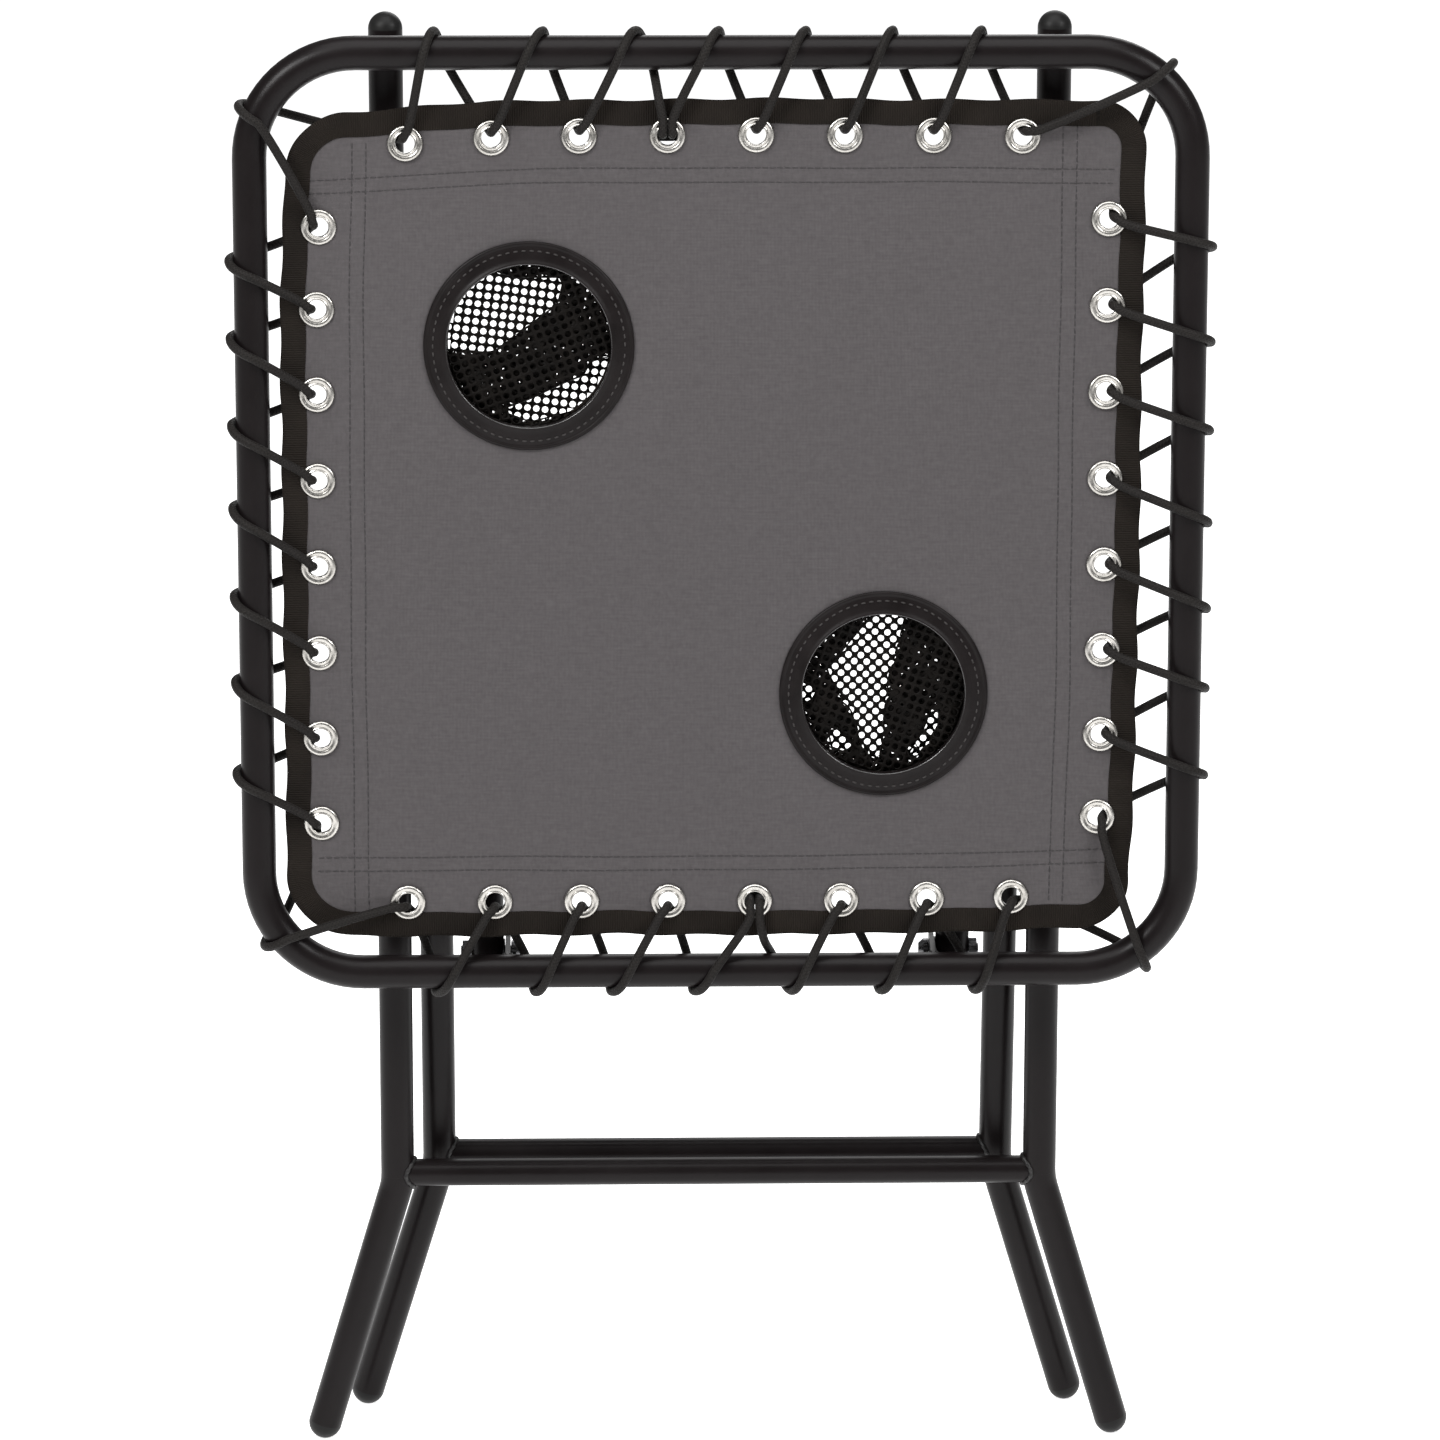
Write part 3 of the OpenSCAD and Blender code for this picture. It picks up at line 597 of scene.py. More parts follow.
def make_sling():
    """The cloth as a closed sheet, thicker behind where the hems are folded, with its holes."""
    nx, nz = int(PANEL_W / CLOTH_STEP), int(PANEL_H / CLOTH_STEP)
    xs = PANEL_X + np.linspace(-PANEL_W / 2, PANEL_W / 2, nx + 1)
    zs = PANEL_Z + np.linspace(-PANEL_H / 2, PANEL_H / 2, nz + 1)
    x, z = (g.ravel() for g in np.meshgrid(xs, zs, indexing="ij"))
    middles = [(g[1:] + g[:-1]) / 2 for g in (xs, zs)]
    cx, cz = (g.ravel() for g in np.meshgrid(*middles, indexing="ij"))
    keep = np.ones(len(cx), bool)
    holes = [(eyelet_at(s, i), EYELET_HOLE_R + 1.2 * MM) for s in range(4) for i in range(EYELETS)]
    holes += [(cup_centre(s), CUP_R + 5 * MM) for s in SIDES]
    for centre, r in holes:
        keep &= np.hypot(cx - centre[0], cz - centre[2]) > r
        away = np.hypot(x - centre[0], z - centre[2])
        inside = (away < r) & (away > 0)
        x[inside] = centre[0] + (x[inside] - centre[0]) / away[inside] * r
        z[inside] = centre[2] + (z[inside] - centre[2]) / away[inside] * r
    for sx, sz, corner in PANEL_CORNERS:
        r = corner - 0.6 * MM
        ox = PANEL_X + sx * (PANEL_W / 2 - corner)
        oz = PANEL_Z + sz * (PANEL_H / 2 - corner)
        for gx, gz, is_cell in ((cx, cz, True), (x, z, False)):
            away = np.hypot(gx - ox, gz - oz)
            outside = (sx * (gx - ox) > 0) & (sz * (gz - oz) > 0) & (away > r)
            if is_cell:
                keep &= ~outside
            else:
                gx[outside] = ox + (gx[outside] - ox) / away[outside] * r
                gz[outside] = oz + (gz[outside] - oz) / away[outside] * r
    cells = [(i * (nz + 1) + j, (i + 1) * (nz + 1) + j, (i + 1) * (nz + 1) + j + 1, i * (nz + 1) + j + 1)
             for i in range(nx) for j in range(nz) if keep[i * nz + j]]
    used = sorted({v for c in cells for v in c})
    number = {v: k for k, v in enumerate(used)}
    cells = [tuple(number[v] for v in c) for c in cells]
    flat = np.stack([x[used], np.zeros(len(used)), z[used]], axis=1)
    inward = np.min(edge_distance(flat[:, 0], flat[:, 2]), axis=0)
    hem = HEM_T * np.clip((HEM_FROM - inward) / (3 * MM), 0, 1) * np.clip(inward / HEM_EDGE, 0, 1)
    surface = draped(flat)
    front = surface - BEHIND * FABRIC_T / 2
    back = surface + BEHIND * (FABRIC_T / 2 + hem[:, None])
    n = len(used)
    edges = dict.fromkeys(edge for c in cells for edge in zip(c, c[1:] + c[:1]))
    rim = [(a, b) for a, b in edges if (b, a) not in edges]
    faces = cells + [tuple(v + n for v in reversed(c)) for c in cells]
    faces += [(b, a, a + n, b + n) for a, b in rim]
    shape = Shape()
    shape.add(np.vstack([front, back]), faces)
    return shape.piece("sling_cloth", FABRIC, "table_top", ["fabric_panel"])


def make_binding():
    """Ribbed tape folded over the cloth's edge: a flat U swept round the outline."""
    half_t, leg_t = FABRIC_T / 2, 0.5 * MM
    w, reach = BINDING_W, 0.9 * MM
    top = half_t + leg_t
    profile = [(-w, -half_t), (-w, -top + 0.1 * MM), (-w + 0.3 * MM, -top), (-w * 0.5, -top - 0.1 * MM),
               (-1.2 * MM, -top), (0, -top * 0.85), (reach * 0.8, -top * 0.4), (reach, 0),
               (reach * 0.8, top * 0.4), (0, top * 0.85), (-1.2 * MM, top), (-w * 0.5, top + 0.1 * MM),
               (-w + 0.3 * MM, top), (-w, top - 0.1 * MM), (-w, half_t), (-0.8 * MM, half_t * 0.9),
               (-0.8 * MM, -half_t * 0.9)]
    path, normals = panel_outline(2 * MM)
    n, sides = len(path), len(profile)
    offsets = np.array(profile)
    rings = path[:, None] + normals[:, None] * offsets[None, :, :1] + BEHIND * offsets[None, :, 1:]
    flat = rings.reshape(-1, 3)
    points = draped(flat * np.array((1, 0, 1)))
    points[:, 1] += flat[:, 1]
    steps = np.linalg.norm(np.roll(path, -1, 0) - path, axis=1)
    along = np.concatenate([[0], np.cumsum(steps)[:-1]])
    faces = []
    for i in range(n):
        a, b = i * sides, (i + 1) % n * sides
        faces += [(a + k, a + (k + 1) % sides, b + (k + 1) % sides, b + k) for k in range(sides)]
    shape = Shape()
    shape.add(points, faces, along=np.repeat(along, sides))
    return shape.piece("binding_tape", WEBBING, "table_top", ["edge_binding"])


def add_stitches(shape, points, normal, length, gap, radius):
    """A row of stitches along a line of closely spaced points, rising from the cloth along normal."""
    where = np.concatenate([[0], np.cumsum(np.linalg.norm(np.diff(points, axis=0), axis=1))])
    count = int(where[-1] / (length + gap))
    for k in range(count):
        start = k * (length + gap)
        spots = start + length * np.array((0, 0.3, 0.7, 1))
        path = np.stack([np.interp(spots, where, points[:, c]) for c in range(3)], axis=1)
        path += normal * radius * np.array((-0.5, 0.5, 0.5, -0.5))[:, None]
        add_tube(shape, path, spots, radius, 5)


def make_hem_stitching():
    """Two rows of dark thread inside each edge, on the front and the back."""
    shape = Shape()
    stitch = (2.9 * MM, 0.8 * MM, 0.26 * MM)
    for side in range(4):
        reach = (PANEL_W if side % 2 == 0 else PANEL_H) / 2 - BINDING_W
        for inset in HEM_LINES:
            t = np.linspace(-reach, reach, 160)[:, None]
            wander = 0.35 * MM * np.sin(t / (21 * MM) + 2 * side + inset / MM) * np.sin(t / (57 * MM))
            line = MIDDLE + OUTWARD[side] * (HEIGHTS[side] - inset + wander) + ALONG[side] * t
            surface = draped(line)
            add_stitches(shape, surface - BEHIND * FABRIC_T / 2, -BEHIND, *stitch)
            add_stitches(shape, surface + BEHIND * (FABRIC_T / 2 + HEM_T), BEHIND, *stitch)
    return shape.piece("hem_stitching", HEM_THREAD, "table_top")


def eyelet_centre(side, i):
    return draped(eyelet_at(side, i))[0]


EYELET_PROFILE = [(r * MM, y * MM) for r, y in (
    (4.8, 1.3), (4.8, -1.35), (4.95, -1.8), (5.25, -2.05), (5.6, -2.0), (5.85, -1.7), (6.2, -1.65),
    (6.7, -1.95), (7.3, -2.15), (7.9, -2.1), (8.4, -1.85), (8.75, -1.45), (8.9, -1.05), (8.75, -0.7),
    (5.7, -0.6), (5.7, 0.6), (8.6, 0.9), (8.85, 1.1), (8.75, 1.4), (8.0, 1.6), (6.4, 1.7),
    (5.6, 1.95), (5.1, 1.8))]


def make_eyelets():
    """Rolled eyelets, each tipped a little by its cord."""
    tips = np.random.default_rng(3).uniform(-3, 3, (4, EYELETS, 2))
    made = []
    for side, name in enumerate(("top", "right", "bottom", "left")):
        shape = Shape()
        for i in range(EYELETS):
            about_x, about_z = np.radians(tips[side][i])
            tilt = Matrix.Rotation(about_x, 4, "X") @ Matrix.Rotation(about_z, 4, "Z")
            add_lathe(shape, EYELET_PROFILE, eyelet_centre(side, i), 40, tilt)
        made.append(shape.piece(f"rolled_eyelets_{name}", NICKEL, "table_top",
                                [f"eyelets_{name}"]))
    return made


# ---------------------------------------------------------------- lacing
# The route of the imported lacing, drawn tight: round the eyelet's rim, then round the tube.
# SIDE_LEAN is how far along its side each strand meets the tube, past its eyelet, in millimetres,
# and CORNER_AT where the cord lies on each corner's bend, in degrees
SIDE_LEAN = ((16, 26, 29, 25, 24, 23, 23), (15, 19, 20, 23, 23, 20, 21),
             (20, 24, 27, 31, 29, 24, 30), (26, 29, 29, 30, 28, 28, 23))
CORNER_AT = (48, -56, -143, 155)
WRAP_R = TUBE_R + CORD_R - 0.05 * MM
RIM_AT, TURN_R = 6.8 * MM, 4.3 * MM
FRONT_SHARE, BACK_SHARE, LAST_SHARE = 0.67, 0.85, 0.5
WRAP_FROM, LAST_WRAP_TO = 100, 135
END_GAP = CORD_R + 0.05 * MM
KNOT_TOP = KNOT_BOTTOM = 3
CLAMP_Y = 6.4 * MM


def turn_points(side, i, before, after):
    """Through eyelet i, from behind to the front, over the rim towards the cord's next place."""
    c = eyelet_centre(side, i)
    toward = [unit((p - c) * (1, 0, 1)) for p in (before, after)]
    points = []
    for f in np.linspace(0, 1, 7):
        a = math.radians(90 - 180 * f)
        n = unit(toward[0] * (1 - f) + toward[1] * f)
        points.append(c + n * (RIM_AT - TURN_R * math.cos(a)) + BEHIND * TURN_R * math.sin(a))
    return points


def wrap_points(centre, n, shifts, stop=WRAP_FROM):
    """Round the tube at centre, whose outward direction is n, sliding along it through shifts."""
    points = []
    for f in np.linspace(0, 1, 13):
        a = math.radians(-WRAP_FROM + (WRAP_FROM + stop) * f)
        slide = shifts[0] + (shifts[1] - shifts[0]) * 2 * f if f < 0.5 else (
            shifts[1] + (shifts[2] - shifts[1]) * (2 * f - 1))
        points.append(centre + n * WRAP_R * math.cos(a) + BEHIND * WRAP_R * math.sin(a) + slide)
    return points


def side_wrap(side, i, stop=WRAP_FROM):
    e, n, v, lean = eyelet_at(side, i), OUTWARD[side], ALONG[side], SIDE_LEAN[side][i] * MM
    centre = e + n * (HALF - e @ n)
    rest = EYELET_PITCH - lean
    last = EYELET_PITCH - rest * (BACK_SHARE if stop == WRAP_FROM else LAST_SHARE)
    return wrap_points(centre, n, (v * lean * FRONT_SHARE, v * lean, v * last), stop)


def corner_wrap(side):
    a = math.radians(CORNER_AT[side])
    n = np.array((math.cos(a), 0, math.sin(a)))
    centre = np.sign(n) * (HALF - CORNER_R) + n * CORNER_R
    v = np.array((math.sin(a), 0, -math.cos(a)))
    return wrap_points(centre, n, (v * -3 * MM, v * 0, v * 3 * MM))


def entry_points(side, i, shift):
    """Over the front of the rim, in through the shared eyelet and out of the clamp behind."""
    c = eyelet_centre(side, i) + ALONG[side] * shift
    return [c + OUTWARD[side] * out * MM + BEHIND * y * MM
            for out, y in ((7.6, -4.9), (4.4, -4.5), (1.2, -2.6), (0.2, 0.6), (0, 6.4), (0, 15))]


def over_edge(side, i):
    return [eyelet_at(side, i) + OUTWARD[side] * (EYELET_IN + 1.5 * MM) - BEHIND * 4.8 * MM
            - ALONG[side] * (END_GAP + 2 * MM)]


def make_lacing(name, node, side0, knot0, side1, side2, knot2):
    """One cord, from a shared eyelet round a whole side to the other shared eyelet."""
    eyelets = ([(side0, i) for i in range(knot0 + 1, EYELETS)] + [(side1, i) for i in range(EYELETS)]
               + [(side2, i) for i in range(knot2)])
    wraps = [side_wrap(side0, knot0)]
    for side, i in eyelets[:-1]:
        wraps.append(side_wrap(side, i) if i < EYELETS - 1 else corner_wrap(side))
    wraps.append(side_wrap(*eyelets[-1], LAST_WRAP_TO))
    route = entry_points(side0, knot0, END_GAP)[::-1] + wraps[0]
    for (side, i), before, after in zip(eyelets, wraps, wraps[1:]):
        route += turn_points(side, i, before[-1], after[0]) + after
    route += over_edge(side2, knot2) + entry_points(side2, knot2, -END_GAP)
    path, along = smooth_path(route, 1.5 * MM)
    shape = Shape()
    add_tube(shape, path, along, CORD_R, 14)
    shape.piece(name, CORD, "table_top", [node])


def make_clamps():
    """A ribbed clamp that holds two cord ends, at each shared eyelet."""
    shape = Shape()
    half_w, half_h, length, levels, n = 6.2 * MM, 4 * MM, 7 * MM, 15, 40
    turn = np.linspace(0, TAU, n, endpoint=False)
    c, s = np.cos(turn), np.sin(turn)
    across = np.sign(c) * np.abs(c) ** 0.5 * half_w
    upward = np.sign(s) * np.abs(s) ** 0.5 * half_h
    first, last = levels * n, (levels - 1) * n
    for side, knot in ((0, KNOT_TOP), (2, KNOT_BOTTOM)):
        centre = eyelet_centre(side, knot)
        rings = []
        for k in range(levels):
            f = k / (levels - 1)
            size = 1 - 0.16 * abs(2 * f - 1) ** 6 - (0.07 if k % 4 in (2, 3) and 2 < k < levels - 2 else 0)
            rings.append(np.stack([across * size, np.full(n, CLAMP_Y + f * length), upward * size], axis=1))
        points = np.concatenate(rings + [[(0, CLAMP_Y, 0), (0, CLAMP_Y + length, 0)]])
        faces = [(k * n + i, (k + 1) * n + i, (k + 1) * n + (i + 1) % n, k * n + (i + 1) % n)
                 for k in range(levels - 1) for i in range(n)]
        faces += [(first, i, (i + 1) % n) for i in range(n)]
        faces += [(first + 1, last + (i + 1) % n, last + i) for i in range(n)]
        shape.add(points + centre, faces)
    shape.piece("ribbed_cord_clamps", CLAMP, "table_top", ["cord_clamps"])


# ---------------------------------------------------------------- cup holders
RING_PROFILE = [(r * MM, y * MM) for r, y in (
    (52, -0.45), (52.1, -1.2), (51.8, -1.8), (51.2, -2.15), (50.6, -2.15), (50.1, -1.85), (49.7, -1.7),
    (49.2, -1.8), (48.7, -2.0), (44.6, -2.1), (43.2, -2.35), (42.3, -2.75), (41.7, -3.1), (41.25, -3.3),
    (40.8, -3.15), (40.5, -2.7), (40.45, -2.2),
    (40.45, -1.7), (40.5, 1.0), (40.7, 3.0), (41.1, 3.6), (41.6, 3.6), (41.9, 3.1),
    (42.1, 1.45), (50.4, 1.4), (50.8, 1.0), (50.5, 0.6), (45.2, 0.55), (45.2, -0.45))]
LIP_R, LIP_Y = 41 * MM, -2.5 * MM      # the polished inner side of the ring's front edge


def make_ring(sign, name):
    """A cup holder's ring, with a row of stitches on its front and its back."""
    shape = Shape()
    lip = [float(r < LIP_R and y < LIP_Y) for r, y in RING_PROFILE]
    add_lathe(shape, RING_PROFILE, cup_centre(sign), 144, lip=lip)
    shape.piece(f"vinyl_ring_{name}", VINYL, "table_top", [f"cup_ring_{name}"])
    stitches = Shape()
    turn, r = np.linspace(0, TAU, 400), 47.4 * MM
    for y, side in ((-2.0 * MM, -1), (1.4 * MM, 1)):
        circle = cup_centre(sign) + np.stack([r * np.cos(turn), 0 * turn + y, r * np.sin(turn)], axis=1)
        add_stitches(stitches, circle, BEHIND * side, 1.7 * MM, 2.3 * MM, 0.45 * MM)
    stitches.piece(f"ring_stitching_{name}", RING_THREAD, "table_top")


NET_PITCH, NET_T = 4.4 * MM, 0.55 * MM
NET_CELL = [(0, 0), (1, 0), (2, 0), (2, 1), (2, 2), (1, 2), (0, 2), (0, 1)]    # a cell's rim, in halves
NET_ROUND = [0.71, 1] * 4        # its corners and middles drawn in, so that the hole is round
NET_HOLE = 0.76                  # the hole's share of the cell


def window_distance(points, window):
    """Distance from a closed outline given in millimetres, negative inside, and its nearest point."""
    outline = np.array(window, float) * MM
    best, nearest = np.full(len(points), 1e9), np.zeros((len(points), 2))
    inside = np.zeros(len(points), bool)
    for a, b in zip(outline, np.roll(outline, -1, 0)):
        d = b - a
        t = np.clip(((points - a) @ d) / (d @ d), 0, 1)
        q = a + t[:, None] * d
        away = np.linalg.norm(points - q, axis=1)
        nearest = np.where((away < best)[:, None], q, nearest)
        best = np.minimum(away, best)
        if a[1] != b[1]:
            level = (a[1] > points[:, 1]) != (b[1] > points[:, 1])
            inside ^= level & (points[:, 0] < a[0] + (points[:, 1] - a[1]) * d[0] / d[1])
    return np.where(inside, -best, best), nearest


def add_net(shape, place, size, turn=0.0, shift=(0, 0), windows=(), reach=None, wrap=False,
            hole=NET_HOLE):
    """A knitted net over a flat lattice: square cells with round holes, put in place by a function
    of flat points. windows are left out of it, reach limits it to a disc, and wrap joins its ends."""
    nx, nz = size
    cos, sin = math.cos(turn), math.sin(turn)

    def flat(i, j):
        a = (np.asarray(i, float) / 2 - nx / 2) * NET_PITCH + shift[0]
        b = (np.asarray(j, float) / 2 - nz / 2) * NET_PITCH + shift[1]
        return np.stack([a * cos - b * sin, a * sin + b * cos], axis=-1)

    i, j = (g.ravel() for g in np.meshgrid(np.arange(nx), np.arange(nz), indexing="ij"))
    centres = flat(2 * i + 1, 2 * j + 1)
    keep = np.ones(len(i), bool)
    if reach:
        keep &= np.hypot(*centres.T) < reach
    for window in windows:
        keep &= window_distance(centres, window)[0] > 0
    cells = list(zip(i[keep], j[keep]))
    number, outer = {}, []
    for ci, cj in cells:
        ids = []
        for di, dj in NET_CELL:
            key = ((2 * ci + di) % (2 * nx) if wrap else 2 * ci + di, 2 * cj + dj)
            ids.append(number.setdefault(key, len(number)))
        outer.append(ids)
    keys = np.array(list(number))
    corners = flat(keys[:, 0], keys[:, 1])
    for window in windows:
        away, nearest = window_distance(corners, window)
        corners = np.where((away < 0)[:, None], nearest, corners)
    if reach:
        corners = corners * (reach / np.maximum(np.hypot(*corners.T), reach))[:, None]
    outer = np.array(outer)
    if wrap:      # the last cells reach past the join, so their corners aren't the first cells' own
        whole, rim = 2 * np.array(cells), np.array(NET_CELL)
        cell_corners = flat(whole[:, :1] + rim[:, 0], whole[:, 1:] + rim[:, 1])
    else:
        cell_corners = corners[outer]
    middle = cell_corners.mean(axis=1, keepdims=True)
    share = hole * np.array(NET_ROUND)[None, :, None]
    holes = (middle + (cell_corners - middle) * share).reshape(-1, 2)
    both = np.vstack([corners, holes])
    step = 0.05 * MM
    spots = place(both)
    du = place(both + np.array((step, 0))) - spots
    dv = place(both + np.array((0, step))) - spots
    normal = np.cross(du, dv)
    normal = normal / np.maximum(np.linalg.norm(normal, axis=1, keepdims=True), 1e-15)
    n = len(both)
    points = np.vstack([spots - normal * NET_T / 2, spots + normal * NET_T / 2])
    faces, edges = [], {}
    for k, ids in enumerate(outer):
        first = len(corners) + 8 * k
        for q in range(8):
            after = (q + 1) % 8
            a, b, c, d = int(ids[q]), int(ids[after]), first + after, first + q
            faces += [(a, b, c, d), (d + n, c + n, b + n, a + n), (d, c, c + n, d + n)]
            edges[(a, b)] = True
    faces += [(b, a, a + n, b + n) for a, b in edges if (b, a) not in edges]
    shape.add(points, faces)


def relief(points, size, k=1.0):
    """Soft creases over a flat net."""
    a, b = points[:, 0] / (20 * MM) * k, points[:, 1] / (20 * MM) * k
    return size * (0.5 * np.sin(2.1 * a + 1.3 * b + k) + 0.3 * np.sin(3.7 * b - 1.9 * a + 2 * k)
                   + 0.2 * np.sin(5.3 * a + 4.1 * b))


# The collapsed wall of each bag lies doubled over its bottom, except in these windows: outlines in
# millimetres from the cup's middle, right and up
UPPER_WINDOWS = (
    ((-50, -2), (-50, 50), (-19, 37), (-7, 33), (17, 33), (14, 20), (2, 11), (-18, -4)),
    ((-14, -33), (0, -28), (17, -20), (27, -16), (31, -9), (46, -5), (46, -20), (24, -33), (0, -39)))
LOWER_WINDOWS = (
    ((-6, 38), (1, 44), (12, 44), (8, 27), (3, 9), (1, -7), (-2, -38), (-11, -26), (-14, -13), (-28, 11),
     (-14, 28)),
    ((28, -2), (28, -17), (16, -35), (13, -33), (21, -19), (25, -8)),
    ((-44, 3), (-34, 3), (-35, -5), (-44, -4)),
    ((-26, -19), (-23, -19), (-15, -27), (-19, -31), (-26, -28)))


LAYER_HOLES = (NET_HOLE, 0.72, 0.34)     # front, back and middle layer of the doubled wall
WALL_Y, WALL_CELLS, WALL_HOLE = 1.6 * MM, 58, 0.3
FOLD_R, RIM_FADE = 3.5 * MM, 9 * MM


def make_pocket(sign, name, windows, bottom_y, layer_y, turn):
    """A net bag pressed flat: its bottom, its wall doubled over in folds, and its side."""
    centre = cup_centre(sign)
    shape = Shape()
    disc_r = CUP_R + 0.6 * MM

    def lay(points):
        rim = np.clip((disc_r - np.hypot(*points.T)) / RIM_FADE, 0, 1)
        depth = bottom_y + relief(points, 1.2 * MM) * rim
        return centre + np.stack([points[:, 0], depth, points[:, 1]], axis=1)

    mid = (layer_y[0] + layer_y[1]) / 2

    def doubled(y, k):
        def place(points):
            away = np.min([np.abs(window_distance(points, w)[0]) for w in windows], axis=0)
            f = np.clip(away / FOLD_R, 0, 1)
            depth = mid + (y - mid) * np.sqrt(1 - (1 - f) ** 2) + relief(points, 1.3 * MM, k) * f
            return centre + np.stack([points[:, 0], depth, points[:, 1]], axis=1)
        return place

    add_net(shape, lay, (22, 22), turn, (1.1 * MM, 0.4 * MM), reach=disc_r)
    for number, (y, hole) in enumerate(zip((*layer_y, mid), LAYER_HOLES)):
        add_net(shape, doubled(y, 1.7 + 0.6 * number), (24, 24), turn + 0.5 - 0.31 * number,
                (number * MM, 0), windows, disc_r, hole=hole)
    wall_r, tall = CUP_R + 1.6 * MM, round((bottom_y - WALL_Y) / NET_PITCH)

    def wall(points):
        angle = points[:, 0] / (WALL_CELLS * NET_PITCH) * TAU
        f = np.clip(points[:, 1] / (tall * NET_PITCH) + 0.5, 0, 1)
        r = wall_r + 0.9 * MM * np.sin(np.pi * f) * (1 + 0.5 * np.sin(5 * angle)) - 0.8 * MM * f
        depth = WALL_Y + f * (bottom_y - WALL_Y)
        return centre + np.stack([r * np.cos(angle), depth, r * np.sin(angle)], axis=1)

    add_net(shape, wall, (WALL_CELLS, tall), wrap=True, hole=WALL_HOLE)
    shape.piece(f"net_pocket_{name}", NET, "table_top", [f"mesh_pocket_{name}"])
    seam = Shape()
    r = wall_r - 0.8 * MM
    tape = [(r + out * MM, bottom_y + y * MM)
            for out, y in ((-1.2, -0.5), (0.3, -0.7), (0.7, 0), (0.3, 0.7), (-1.2, 0.6))]
    add_lathe(seam, tape, centre, 120)
    seam.piece(f"pocket_seam_{name}", WEBBING, "table_top")


# ---------------------------------------------------------------- welds
def centre_of(node):
    low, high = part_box(node)
    return (low + high) / 2


def add_weld(shape, axis_point, leg, away, bar_r, leg_r):
    """A bead where a bar running along away (+X or -X) meets a round leg."""
    leg, away = np.array(leg), np.array(away)
    across = np.cross(leg, away)
    count = 72
    turn = np.arange(count) / count * TAU
    r = bar_r + 0.35 * MM
    off = r * np.sin(turn)
    reach = np.sqrt(np.maximum(leg_r ** 2 - off ** 2, 0)) + 0.2 * MM
    path = (np.array(axis_point) + np.outer(r * np.cos(turn), leg) + np.outer(off, across)
            + np.outer(reach, away))
    radius = 1.15 * MM * (1 + 0.16 * np.sin(15 * turn) + 0.06 * np.sin(4 * turn + 1))
    add_tube(shape, path, turn * r, radius, 10, closed=True)


def add_tab_weld(shape, x, z, start, stop):
    """A bead along the foot of a tab, on the tube whose centre is (0, z) in the top's plane."""
    count = 26
    angles = np.radians(np.linspace(start, stop, count))
    r = TUBE_R + 0.2 * MM
    path = np.stack([np.full(count, x), r * np.cos(angles), z + r * np.sin(angles)], axis=1)
    radius = 0.95 * MM * (1 + 0.18 * np.sin(np.arange(count) * 1.7))
    add_tube(shape, path, angles * r, radius, 9)


def make_welds():
    """Beads at both ends of each crossbar, and along the tabs on both sides."""
    frames = (("outer", "pivot_bolts", "hinge_bolts", "outer_leg_right", "outer_legs"),
              ("inner", "pivot_bolts", "link_bolts", "inner_leg_right", "inner_legs"),
              ("brace", "brace_bolts", "link_nuts", "brace_tube_right", "brace"))
    for name, lower, upper, leg, body in frames:
        direction = centre_of(upper) - centre_of(lower)
        direction = Vector((0, direction.y, direction.z)).normalized()
        shape = Shape()
        bar_at = centre_of(f"{name}_crossbar")
        leg_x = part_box(leg)[0].x + TUBE_R      # from its inner side, for a leg's foot reaches further out
        for side in SIDES:
            add_weld(shape, (side * leg_x, bar_at.y, bar_at.z), direction, (-side, 0, 0), BAR_R, TUBE_R)
        shape.piece(f"{name}_crossbar_welds", WELD, body, place=Matrix.Identity(4))
    shape = Shape()
    for node, z, span in (("hinge_tabs", HALF, (-58, 31)), ("link_tabs", -HALF, (-51, 68))):
        outer_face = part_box(node)[1].x
        for side in SIDES:
            for x in (outer_face + 0.25 * MM, outer_face - TAB_T - 0.25 * MM):
                add_tab_weld(shape, side * x, z, *span)
    shape.piece("tab_welds", WELD, "table_top")


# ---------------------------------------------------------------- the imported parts' materials
SLOT_MATERIALS = {"powder_coat": COAT, "cap_plastic": CAP, "zinc_plate": ZINC, "washer_nylon": WASHER}


def dress_cad():
    """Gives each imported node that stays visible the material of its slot."""
    slots = {s["node"]: s["material_slot"] for s in frame["record"]["subparts"]}
    for name, node in frame["nodes"].items():
        material = SLOT_MATERIALS.get(slots[name])
        if material:
            for holder in node.material_slots:
                holder.material = material


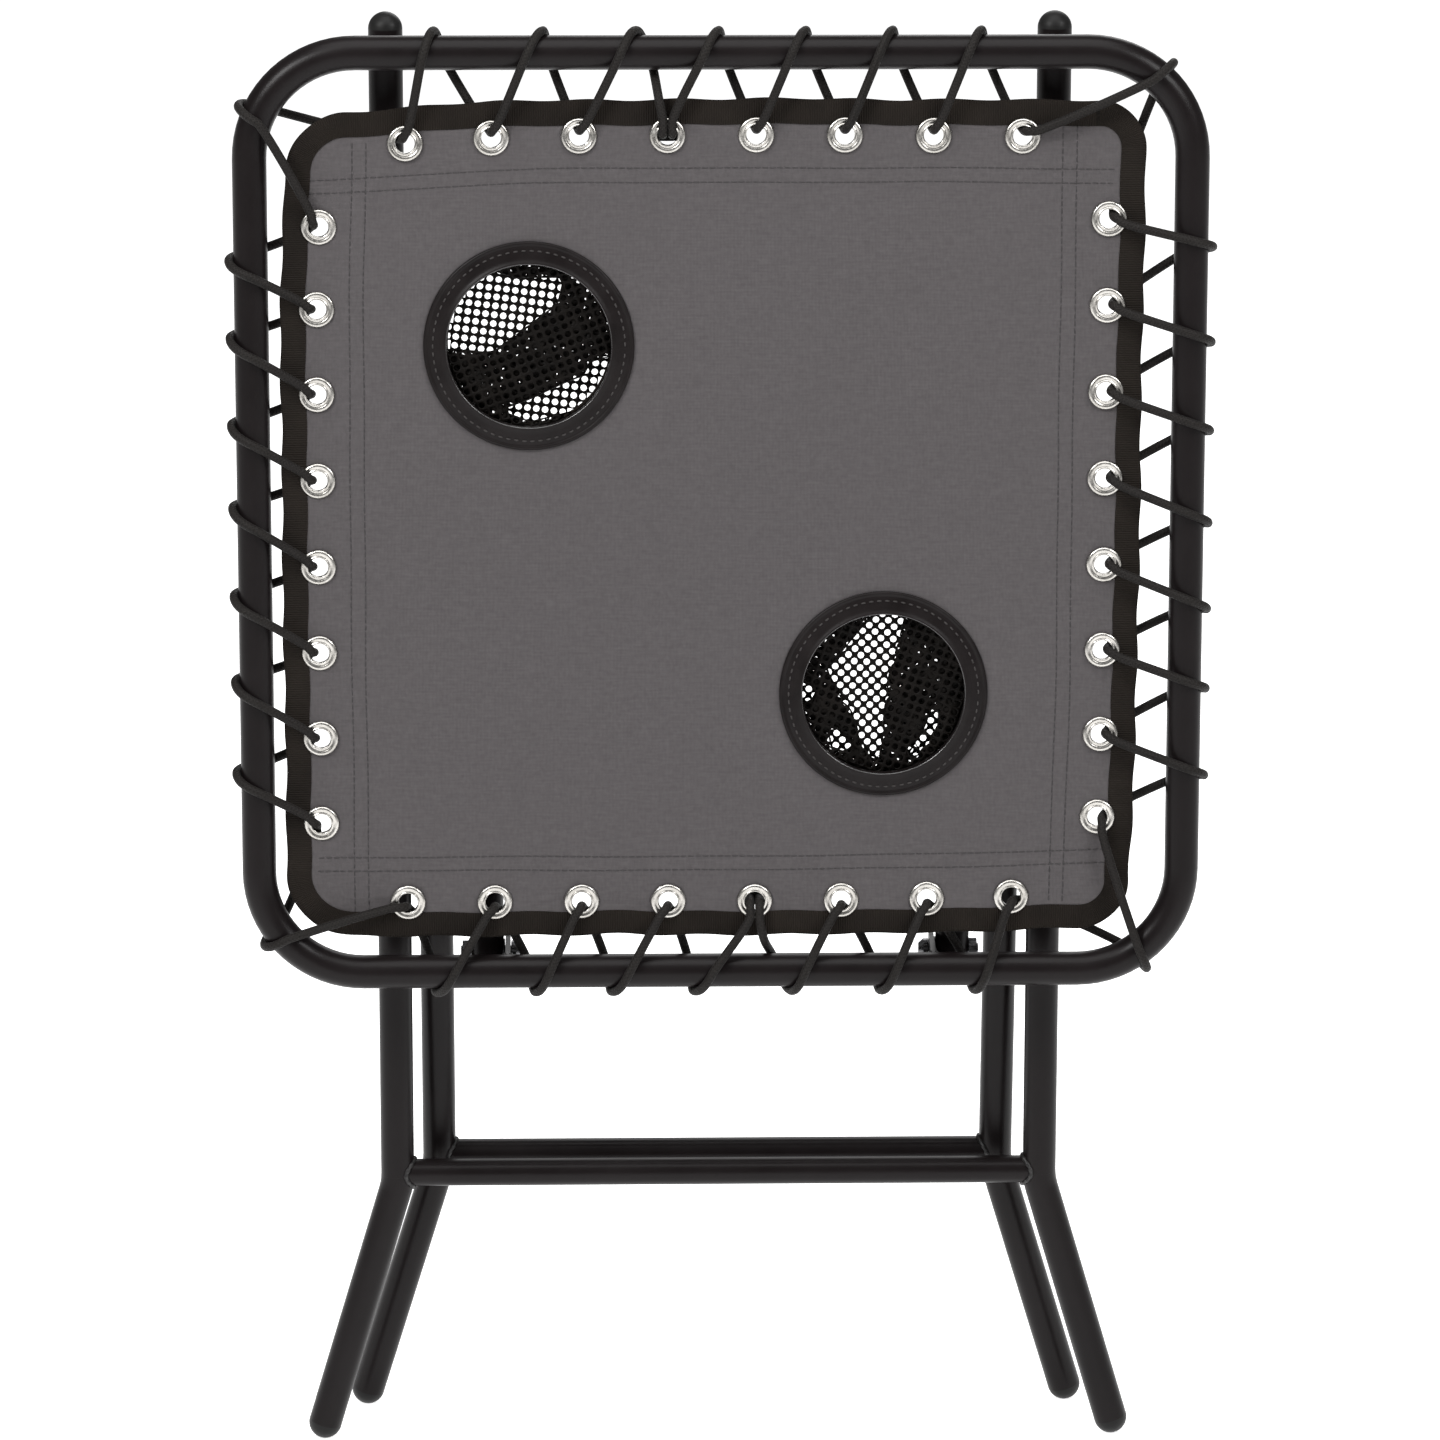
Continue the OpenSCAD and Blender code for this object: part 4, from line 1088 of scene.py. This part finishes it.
# ---------------------------------------------------------------- studio
def make_studio():
    """Pale seamless floor, white surroundings and soft lights from both sides and above."""
    mesh = bpy.data.meshes.new("floor")
    far = 14
    mesh.from_pydata([(-far, -far, 0), (far, -far, 0), (far, far, 0), (-far, far, 0)], [], [(0, 1, 2, 3)])
    mesh.materials.append(studio_floor())
    floor = bpy.data.objects.new("floor", mesh)
    bpy.context.scene.collection.objects.link(floor)
    world = bpy.data.worlds.new("surroundings")
    world.use_nodes = True
    world.node_tree.nodes["Background"].inputs["Color"].default_value = (1, 1, 1, 1)
    world.node_tree.nodes["Background"].inputs["Strength"].default_value = 0.22
    bpy.context.scene.world = world
    bpy.context.scene.view_settings.view_transform = "Standard"
    for name, place, size, power in (
            ("key_left", (-1.35, -1.25, 1.95), 0.7, 44),
            ("key_right", (1.5, -1.15, 1.85), 0.8, 32),
            ("overhead", (0, -0.45, 2.3), 1.6, 32),
            ("back_fill", (0.4, 2.2, 1.6), 1.4, 16)):
        light = bpy.data.lights.new(name, "AREA")
        light.shape, light.size, light.energy = "SQUARE", size, power
        lamp = bpy.data.objects.new(name, light)
        lamp.location = place
        aim = Vector((0, 0, 0.4)) - Vector(place)
        lamp.rotation_mode = "QUATERNION"
        lamp.rotation_quaternion = aim.to_track_quat("-Z", "Y")
        bpy.context.scene.collection.objects.link(lamp)


make_camera()
make_lacing("bungee_right", "lacing_right", 0, KNOT_TOP, 1, 2, KNOT_BOTTOM)
make_lacing("bungee_left", "lacing_left", 2, KNOT_BOTTOM, 3, 0, KNOT_TOP)
sling = make_sling()
binding = make_binding()
stitching = make_hem_stitching()
eyelet_rows = make_eyelets()
make_clamps()
for sign, name, windows, bottom_y, layer_y, turn in (
        (1, "upper", UPPER_WINDOWS, 11.5 * MM, (4.2 * MM, 8.0 * MM), -0.13),
        (-1, "lower", LOWER_WINDOWS, 9.5 * MM, (3.4 * MM, 6.6 * MM), 0.72)):
    make_ring(sign, name)
    make_pocket(sign, name, windows, bottom_y, layer_y, turn)
make_welds()
dress_cad()
make_studio()
